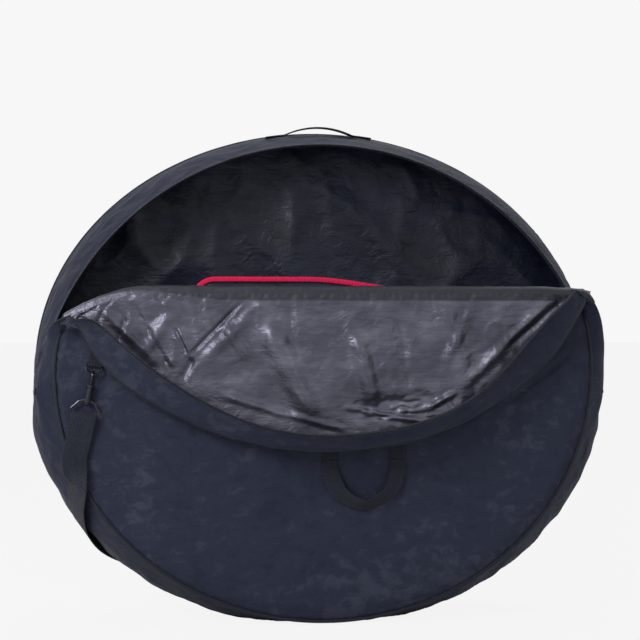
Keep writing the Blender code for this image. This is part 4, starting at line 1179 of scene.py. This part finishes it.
# %% [markdown]
# ## The coil zip
#
# A coil zip is a woven tape with a nylon filament sewn along its edge in a tight row of loops. The tape
# is a narrow grid. The loops repeat along a path, so Geometry Nodes make them: the path is resampled at
# the real pitch, a bent loop is instanced on each point and turned along the path, and the result is
# made real. The zip's halves are at the rear gusset, on the flap's rim and on the two short sides.

# %% Geometry Nodes: a small shape repeated along a path
def new_tree(name, sizes):
    """Tree with a path going in, named sizes and a mesh coming out."""
    tree = bpy.data.node_groups.new(name, "GeometryNodeTree")
    tree.interface.new_socket("Path", in_out="INPUT", socket_type="NodeSocketGeometry")
    for size, value in sizes.items():
        socket = tree.interface.new_socket(size, in_out="INPUT", socket_type="NodeSocketFloat")
        socket.default_value = value
    tree.interface.new_socket("Mesh", in_out="OUTPUT", socket_type="NodeSocketGeometry")
    return tree, tree.nodes.new("NodeGroupInput"), tree.nodes.new("NodeGroupOutput")


def repeat_along(tree, source, target, shape, material):
    """Place the shape along the path at the spacing, turned to the path, and make it real."""
    curve = add_node(tree, "GeometryNodeMeshToCurve", {"Mesh": source.outputs["Path"]})
    even = add_node(tree, "GeometryNodeResampleCurve", {"Curve": curve.outputs[0]}, mode="LENGTH")
    tree.links.new(source.outputs["Spacing"], even.inputs["Length"])
    tangent = tree.nodes.new("GeometryNodeInputTangent")
    turn = add_node(tree, "FunctionNodeAlignRotationToVector", {"Vector": tangent.outputs[0]}, axis="X")
    copies = add_node(tree, "GeometryNodeInstanceOnPoints",
                      {"Points": even.outputs[0], "Instance": shape, "Rotation": turn.outputs[0]})
    real = add_node(tree, "GeometryNodeRealizeInstances", {0: copies.outputs[0]})
    smooth = add_node(tree, "GeometryNodeSetShadeSmooth", {0: real.outputs[0]})
    finish = add_node(tree, "GeometryNodeSetMaterial", {"Geometry": smooth.outputs[0]})
    finish.inputs["Material"].default_value = material
    tree.links.new(finish.outputs[0], target.inputs[0])


coil_tree, source, target = new_tree("zip_coil", {"Spacing": 0.0026, "Loop": 0.00105, "Wire": 0.00042})
loop, wire = [add_node(coil_tree, "GeometryNodeCurvePrimitiveCircle",
                       {"Resolution": corners, "Radius": source.outputs[size]}, mode="RADIUS")
              for corners, size in ((8, "Loop"), (4, "Wire"))]
bent = add_node(coil_tree, "GeometryNodeCurveToMesh", {0: loop.outputs[0], 1: wire.outputs[0]})
upright = add_node(coil_tree, "GeometryNodeTransform",
                   {"Geometry": bent.outputs[0], "Rotation": (0.0, math.radians(76), 0.0)})
repeat_along(coil_tree, source, target, upright.outputs[0], coil_nylon)

stitch_tree, source, target = new_tree("stitch_line",
                                       {"Spacing": 0.0042, "Length": 0.0030, "Thread": 0.00045})
bead = add_node(stitch_tree, "GeometryNodeMeshUVSphere", {"Segments": 6, "Rings": 4, "Radius": 1.0})
half = math_node(stitch_tree, "MULTIPLY", source.outputs["Length"], 0.5)
form = add_node(stitch_tree, "ShaderNodeCombineXYZ",
                {0: half, 1: source.outputs["Thread"], 2: source.outputs["Thread"]})
shaped = add_node(stitch_tree, "GeometryNodeTransform",
                  {"Geometry": bead.outputs[0], "Scale": form.outputs[0]})
repeat_along(stitch_tree, source, target, shaped.outputs[0], thread)


def along_paths(name, tree, paths, body, finish):
    """Piece made by a tree along one or more lines of points."""
    points, edges = [], []
    for line in paths:
        edges += [(len(points) + step, len(points) + step + 1) for step in range(len(line) - 1)]
        points += [tuple(point) for point in line]
    mesh = bpy.data.meshes.new(name)
    mesh.from_pydata(points, edges, [])
    piece = bpy.data.objects.new(name, mesh)
    bpy.context.scene.collection.objects.link(piece)
    modifier = piece.modifiers.new("repeat", "NODES")
    modifier.node_group = tree
    settle(piece)
    return done(piece, body, finish)


# %% Zip tapes and their coils
def tape(name, line_at, first, last, steps, low, high, body, node):
    """Zip tape between two Y lines on the zip's circle."""
    rows = []
    for step in range(steps + 1):
        angle = first + (last - first) * step / steps
        lift = 0.0004 * rough(step * 0.2, 0, 0, 1.5, 60.0)
        rows.append([line_at(angle, low + (high - low) * place / 6, lift) for place in range(7)])
    piece = grid_piece(name, rows, zip_tape_cloth)
    walled(piece, tape_wall, offset=0.0)
    return done(piece, body, "zip_cloth", node)


def closed_line(angle, y, lift):
    """Point of the zip's circle, with a small lift off it."""
    return zip_point(angle, y) + outward(angle) * lift


def zip_line(line_at, y, first, last, lift=0.0):
    """Line of points along the zip for coils and stitches."""
    steps = max(int(abs(last - first) / 0.01), 4)
    return [line_at(first + (last - first) * step / steps, y, lift) for step in range(steps + 1)]


trim, side_start, rear_tape_y, rear_tape_back_y = 0.003, 0.45, -0.0334, -0.0219
tape("zip_tape_rear", closed_line, -zip_end_angle, zip_end_angle, 240, rear_tape_y, rear_tape_back_y,
     "bag", "rear_zip_tape")
reach = zip_fold_angle - trim
tape("zip_tape_flap", rim_zip, -reach, reach, 200, rim_edge_y, tape_edge_y, "flap", "flap_zip_tape")
along_paths("zip_coil_rear", coil_tree, [zip_line(closed_line, rear_coil_y, -zip_end_angle, zip_end_angle)],
            "bag", "zip_cloth")
along_paths("zip_coil_flap", coil_tree, [zip_line(rim_zip, flap_coil_y, -reach, reach)], "flap", "zip_cloth")
for side, label in ((-1, "left"), (1, "right")):
    def side_line(share, y, lift):
        """Line of the short zip at one side, which follows the side piece's puff."""
        out = side * 0.004 * math.sin(math.pi * min(share / 0.75, 1))
        return side_zip_point(share, y, side, lift) + Vector((out, 0, 0))
    tape("zip_tape_side_" + label, side_line, side_start, 1.0, 18, rim_edge_y, tape_edge_y,
         "bag", "side_zip_tape_" + label)
    along_paths("zip_coil_side_" + label, coil_tree, [zip_line(side_line, flap_coil_y, side_start, 1.0)],
                "bag", "zip_cloth")

# %% Stitch lines beside the zip
along_paths("stitches_rear_tape", stitch_tree,
            [zip_line(closed_line, -0.0270, -zip_end_angle, zip_end_angle, 0.0009),
             zip_line(closed_line, -0.0205, -zip_end_angle, zip_end_angle, 0.0022)], "bag", "outer_fabric")
along_paths("stitches_flap_tape", stitch_tree,
            [zip_line(rim_zip, -0.0425, -reach, reach, 0.0016),
             zip_line(rim_zip, -0.0500, -reach, reach, 0.0040),
             zip_line(rim_zip, -0.0545, -reach, reach, 0.0068)], "flap", "outer_fabric")

# %% [markdown]
# ## The divider and its red binding
#
# A flat padded board hangs between the two wheels so that they don't scratch each other. Its raw edge is
# wrapped in bright red grosgrain. The board is a thin slab with a slight crown, and the binding is a
# rounded strip swept along its edge: up one side, round the corners and across the top.

# %% Divider
board_low, board_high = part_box("divider_panel")
board_middle = (board_low[1] + board_high[1]) / 2
board_half, board_top, board_corner = 0.205, 0.5295, 0.038


def board_edge(inward):
    """Outline of the board from its lower left corner over the top to its lower right corner."""
    half, top, corner = board_half - inward, board_top - inward, board_corner - inward
    foot = centre_height - half_height * math.sqrt(1 - (half / 0.43) ** 2) + 0.012
    line = [(-half, foot + (top - corner - foot) * step / 24) for step in range(24)]
    line += [(-half + corner - corner * math.cos(turn), top - corner + corner * math.sin(turn))
             for turn in np.linspace(0, math.pi / 2, 9)]
    line += [((half - corner) * (2 * step / 30 - 1), top) for step in range(1, 30)]
    line += [(half - corner + corner * math.sin(turn), top - corner + corner * math.cos(turn))
             for turn in np.linspace(0, math.pi / 2, 9)]
    line += [(half, top - corner - (top - corner - foot) * step / 24) for step in range(1, 25)]
    return [(x, z - 0.020 * ease((x + 0.02) / 0.19) * ease((z - 0.30) / 0.20)) for x, z in line]


edge = board_edge(0.0015)
rows = []
for row in range(13):
    s = row / 12
    line = []
    for x, z in edge:
        inner_x, inner_z = x * 0.02, 0.20 + (z - 0.20) * 0.02
        px, pz = x + (inner_x - x) * s, z + (inner_z - z) * s
        crown = 0.0006 * ease(s / 0.2) + 0.0008 * rough(px, 0, pz, 0.07, 71.0) * ease(s / 0.3)
        line.append((px, board_middle - 0.0018 - crown, pz))
    rows.append(line)
board, _, _ = slab("divider_board", rows, 0.0042, Vector((0, 1, 0)), black_lining)
done(board, "bag", "inner_lining_cloth", "divider_panel")

# %% Red binding
line = [Vector((x, board_middle, z)) for x, z in board_edge(0.0)]
rows = []
for index, point in enumerate(line):
    before, after = line[max(index - 1, 0)], line[min(index + 1, len(line) - 1)]
    along = (after - before).normalized()
    out = Vector((-along.z, 0, along.x))
    lean = 0.0006 * rough(index * 0.1, 0, 0, 0.9, 81.0)
    profile = [(0.0000, 0.0034), (0.0018, 0.0031), (0.0028, 0.0017), (0.0030, 0.0), (0.0028, -0.0017),
               (0.0018, -0.0031), (0.0000, -0.0034), (-0.0042, -0.0036), (-0.0050, -0.0030),
               (-0.0050, 0.0030), (-0.0042, 0.0036), (0.0000, 0.0034)]
    rows.append([point + out * (rise - 0.003 + 0.0006) + Vector((0, side + lean, 0))
                 for rise, side in profile])
binding = sealed(grid_piece("divider_binding_tape", rows, binding_cloth), weld_distance)
done(binding, "bag", "red_binding", "divider_binding")

# %% [markdown]
# ## Webbing: front handle, top handle, anchors and strap
#
# Webbing bends easily across its face and hardly at all in its plane, so every strap is a ribbon swept
# along a line with a direction that its face looks. Its edges are slightly thinner than its middle. The
# ribbons are modelled directly, because a cloth simulation would lose their crisp selvedges.

# %% Ribbons
def smooth_line(points, steps):
    """Points of a smooth curve through the given points."""
    line = []
    padded = [2 * points[0] - points[1], *points, 2 * points[-1] - points[-2]]
    for before, first, second, after in zip(padded, padded[1:], padded[2:], padded[3:]):
        for step in range(steps):
            share = step / steps
            slope_in, slope_out = (second - before) / 2, (after - first) / 2
            line.append(first.lerp(second, ease(share)) + slope_in * share * (1 - share) ** 2
                        - slope_out * share ** 2 * (1 - share))
    return line + [points[-1]]


def ribbon(name, points, faces, width, thickness, body, finish, *nodes):
    """Webbing along a line of points, whose face looks the given ways."""
    section = [(-0.5, 0.0), (-0.485, 0.40), (-0.44, 0.5), (-0.22, 0.52), (0.0, 0.53), (0.22, 0.52),
               (0.44, 0.5), (0.485, 0.40), (0.5, 0.0), (0.485, -0.40), (0.44, -0.5), (0.22, -0.52),
               (0.0, -0.53), (-0.22, -0.52), (-0.44, -0.5), (-0.485, -0.40), (-0.5, 0.0)]
    rows = []
    for index, (point, face) in enumerate(zip(points, faces)):
        before, after = points[max(index - 1, 0)], points[min(index + 1, len(points) - 1)]
        along = (after - before).normalized()
        face = (face - along * face.dot(along)).normalized()
        across = along.cross(face)
        rows.append([point + across * (a * width) + face * (h * thickness) for a, h in section])
    return done(sealed(grid_piece(name, rows, webbing), weld_distance / 2), body, finish, *nodes)


webbing_thickness, handle_width, strap_width = 0.0018, 0.025, 0.038
handle_y = front_y - 0.0003 - webbing_thickness / 2
hinge = Vector((handle_x, handle_y, 0.250))
half_spacing, drop, bow = 0.0515, 0.0683, 0.012
route = [Vector((-half_spacing, 0, 0)), Vector((-half_spacing, -0.25 * bow, -0.25 * drop)),
         Vector((-0.72 * half_spacing, -bow, -0.72 * drop)), Vector((0, -bow, -drop))]
route += [Vector((-point.x, point.y, point.z)) for point in reversed(route[:-1])]
line = smooth_line(route, 14)
faces = []
for index in range(len(line)):
    twist = math.sin(math.pi * index / (len(line) - 1)) ** 2 * math.radians(48)
    faces.append(Vector((0, -math.cos(twist), -math.sin(twist))))
ribbon("handle_front", [hinge + point for point in line], faces, handle_width, webbing_thickness,
       "front_handle", "webbing", "front_handle")
for side, label in ((-1, "left"), (1, "right")):
    middle = handle_x + side * half_spacing
    line = [Vector((middle, handle_y, 0.2510 + 0.029 * share)) for share in np.linspace(0, 1, 12)]
    ribbon("handle_sewn_end_" + label, line, [Vector((0, -1, 0))] * len(line), handle_width,
           webbing_thickness, "bag", "webbing", "handle_anchor_" + label)

# %% Top handle
def rear_height(x, y):
    """Height of the rear gusset near the top of the bag."""
    angle = math.asin(x / back_half_width)
    first = zip_point(zip_end_angle * angle / end_angle, rear_coil_y + tape_width)
    last = ellipse_point(back_half_width, half_height, angle)[1]
    share = (y - first.y) / (gusset_back_y - first.y)
    return first.z + (last - first.z) * share + 0.006 * math.sin(math.pi * share)


top_handle_y, top_handle_half, sewn_room, arch_share, arch_rise = 0.052, 0.085, 0.0008, 0.647, 0.010
line = []
for share in np.linspace(-1, 1, 61):
    x = top_handle_half * share
    sewn = rear_height(x, top_handle_y) + webbing_thickness / 2 + sewn_room
    arch = max(0.0, 1 - (abs(share) / arch_share) ** 2)
    line.append(Vector((x, top_handle_y, sewn + arch_rise * arch)))
ribbon("handle_top", line, [Vector((0, -0.05, 1))] * len(line), handle_width, webbing_thickness, "bag",
       "webbing", "top_handle")

# %% Shoulder strap
def lower_surface(angle, y):
    """Point of the lower gusset's outer face."""
    share = (y - gusset_front_y) / (gusset_back_y - gusset_front_y)
    swell = math.sin(math.pi * share)
    x, z = ellipse_point(front_half_width + 0.040 * share + 0.026 * swell, half_height + 0.016 * swell, angle)
    return Vector((x, y, max(z, 0.0)))


ring_drop, ring_wire, tab_stand_off, hook_inner, hook_throat = 0.015, 0.0015, 0.0039, 0.0045, 0.0105
barrel_length, running_gap, collar_height, eye_drop, eye_wire = 0.020, 0.0003, 0.006, 0.019, 0.0019
hook_x, hook_height, hook_stand_off = 0.350, 0.395, 0.0092
strap_stand_off, strap_tail, strap_rise, wrap_stand_off = 0.006, 0.034, 0.010, 0.012
knee_x, knee_rise, knee_swing = 0.200, 0.035, 0.012
ring_lean = math.asin((hook_stand_off - tab_stand_off) / ring_drop)
barrel_top = -ring_drop * math.cos(ring_lean) - ring_wire - hook_inner - hook_throat
eye_bar = barrel_top - barrel_length - running_gap - collar_height - eye_drop
front_frame = (Matrix.Translation((-hook_x, front_y, hook_height))
               @ Matrix.Rotation(math.radians(12), 4, "Y"))
back_frame = (Matrix.Translation((hook_x, back_y, hook_height)) @ Matrix.Rotation(math.pi, 4, "Z")
              @ Matrix.Rotation(-math.radians(20), 4, "Y"))


def strap_end(frame_matrix):
    """Points and faces of the strap's end, from its short tail over the eye's bar to the front."""
    radius = eye_wire + running_gap + webbing_thickness / 2
    points = [Vector((0, radius * 0.8, -strap_tail)), Vector((0, radius * 0.9, -0.020)),
              Vector((0, radius, -2 * radius))]
    faces = [Vector((0, 1, 0))] * 3
    for turn in np.linspace(0, math.pi, 13):
        points.append(Vector((0, radius * math.cos(turn), radius * math.sin(turn))))
        faces.append(Vector((0, math.cos(turn), math.sin(turn))))
    points.append(Vector((0, -radius, -radius * 2)))
    faces.append(Vector((0, -1, 0)))
    lift = Vector((0, -hook_stand_off, eye_bar))
    turned = frame_matrix.to_3x3()
    return [frame_matrix @ (point + lift) for point in points], [turned @ face for face in faces]


down = front_frame.to_3x3() @ Vector((0, 0, -1))
eye = front_frame @ Vector((0, -strap_stand_off - webbing_thickness, eye_bar))
knots = [(eye + down * 0.070 * share, Vector((0, -1, 0))) for share in (0.45, 1)]
for share in np.linspace(0, 1, 6):
    y = gusset_front_y + (gusset_back_y - gusset_front_y) * share
    point = lower_surface(-math.radians(116 + 26 * share), y)
    face = Vector((point.x, 0, point.z - centre_height)).normalized() + Vector((0, 2 * share - 1, 0))
    knots.append((point + face.normalized() * wrap_stand_off, face))
back_line = back_y + strap_stand_off
start = Vector((knots[-1][0].x + strap_width * 0.9, back_line, knots[-1][0].z + strap_rise))
up = back_frame.to_3x3() @ Vector((0, 0, 1))
top = back_frame @ Vector((0, -strap_stand_off - webbing_thickness, eye_bar)) - up * strap_tail
knee = Vector((knee_x, back_line, start.z + knee_rise))
for point in (start, start.lerp(knee, 0.5), knee, knee.lerp(top, 0.5) + Vector((knee_swing, 0, 0)), top):
    knots.append((point, Vector((0, 1, 0))))
line = smooth_line([point for point, face in knots], 14)
faces = smooth_line([face.normalized() for point, face in knots], 14)
first_points, first_faces = strap_end(front_frame)
last_points, last_faces = strap_end(back_frame)
line = first_points + line + last_points[::-1]
faces = first_faces + faces + last_faces[::-1]
ribbon("strap", line, faces, strap_width, webbing_thickness, "bag", "webbing", "shoulder_strap")
length = sum((second - first).length for first, second in zip(line, line[1:]))
print("strap length", round(length, 3), "m")

# %% [markdown]
# ## Small sewn tabs
#
# The D-rings hang in loops of narrow webbing, and a square of cloth closes each end of the zip. Each is a
# copy of its CAD solid with softly rolled edges.

# %% Sewn tabs
def soft_block(name, node, material, body, finish, rolled):
    """Copy of a CAD solid's mesh with its edges rolled to this width."""
    shape = bmesh.new()
    shape.from_mesh(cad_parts[node].data)
    bmesh.ops.remove_doubles(shape, verts=shape.verts, dist=weld_distance)
    bmesh.ops.dissolve_limit(shape, angle_limit=math.radians(2), verts=shape.verts, edges=shape.edges)
    mesh = bpy.data.meshes.new(name)
    shape.to_mesh(mesh)
    shape.free()
    piece = new_piece(name, mesh, material)
    for face in mesh.polygons:
        face.material_index = 0
    edges = piece.modifiers.new("rolled", "BEVEL")
    edges.width = rolled
    edges.segments = 3
    edges.limit_method = "ANGLE"
    settle(piece)
    layer = piece.data.uv_layers.new(name="cloth")
    for face in piece.data.polygons:
        for corner in face.loop_indices:
            point = piece.data.vertices[piece.data.loops[corner].vertex_index].co
            layer.data[corner].uv = (point.x, point.z)
    return done(piece, body, finish, node)


for label in ("left", "right"):
    soft_block("ring_tab_" + label, "d_ring_tab_" + label, webbing, "bag", "webbing", 0.0004)
    soft_block("zip_end_patch_" + label, "zip_end_tab_" + label, piping_cloth, "bag", "piping_cord", 0.0003)

# %% Finish
low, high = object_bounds()
print("visual box", [round(1000 * (b - a), 1) for a, b in zip(low, high)], "mm")
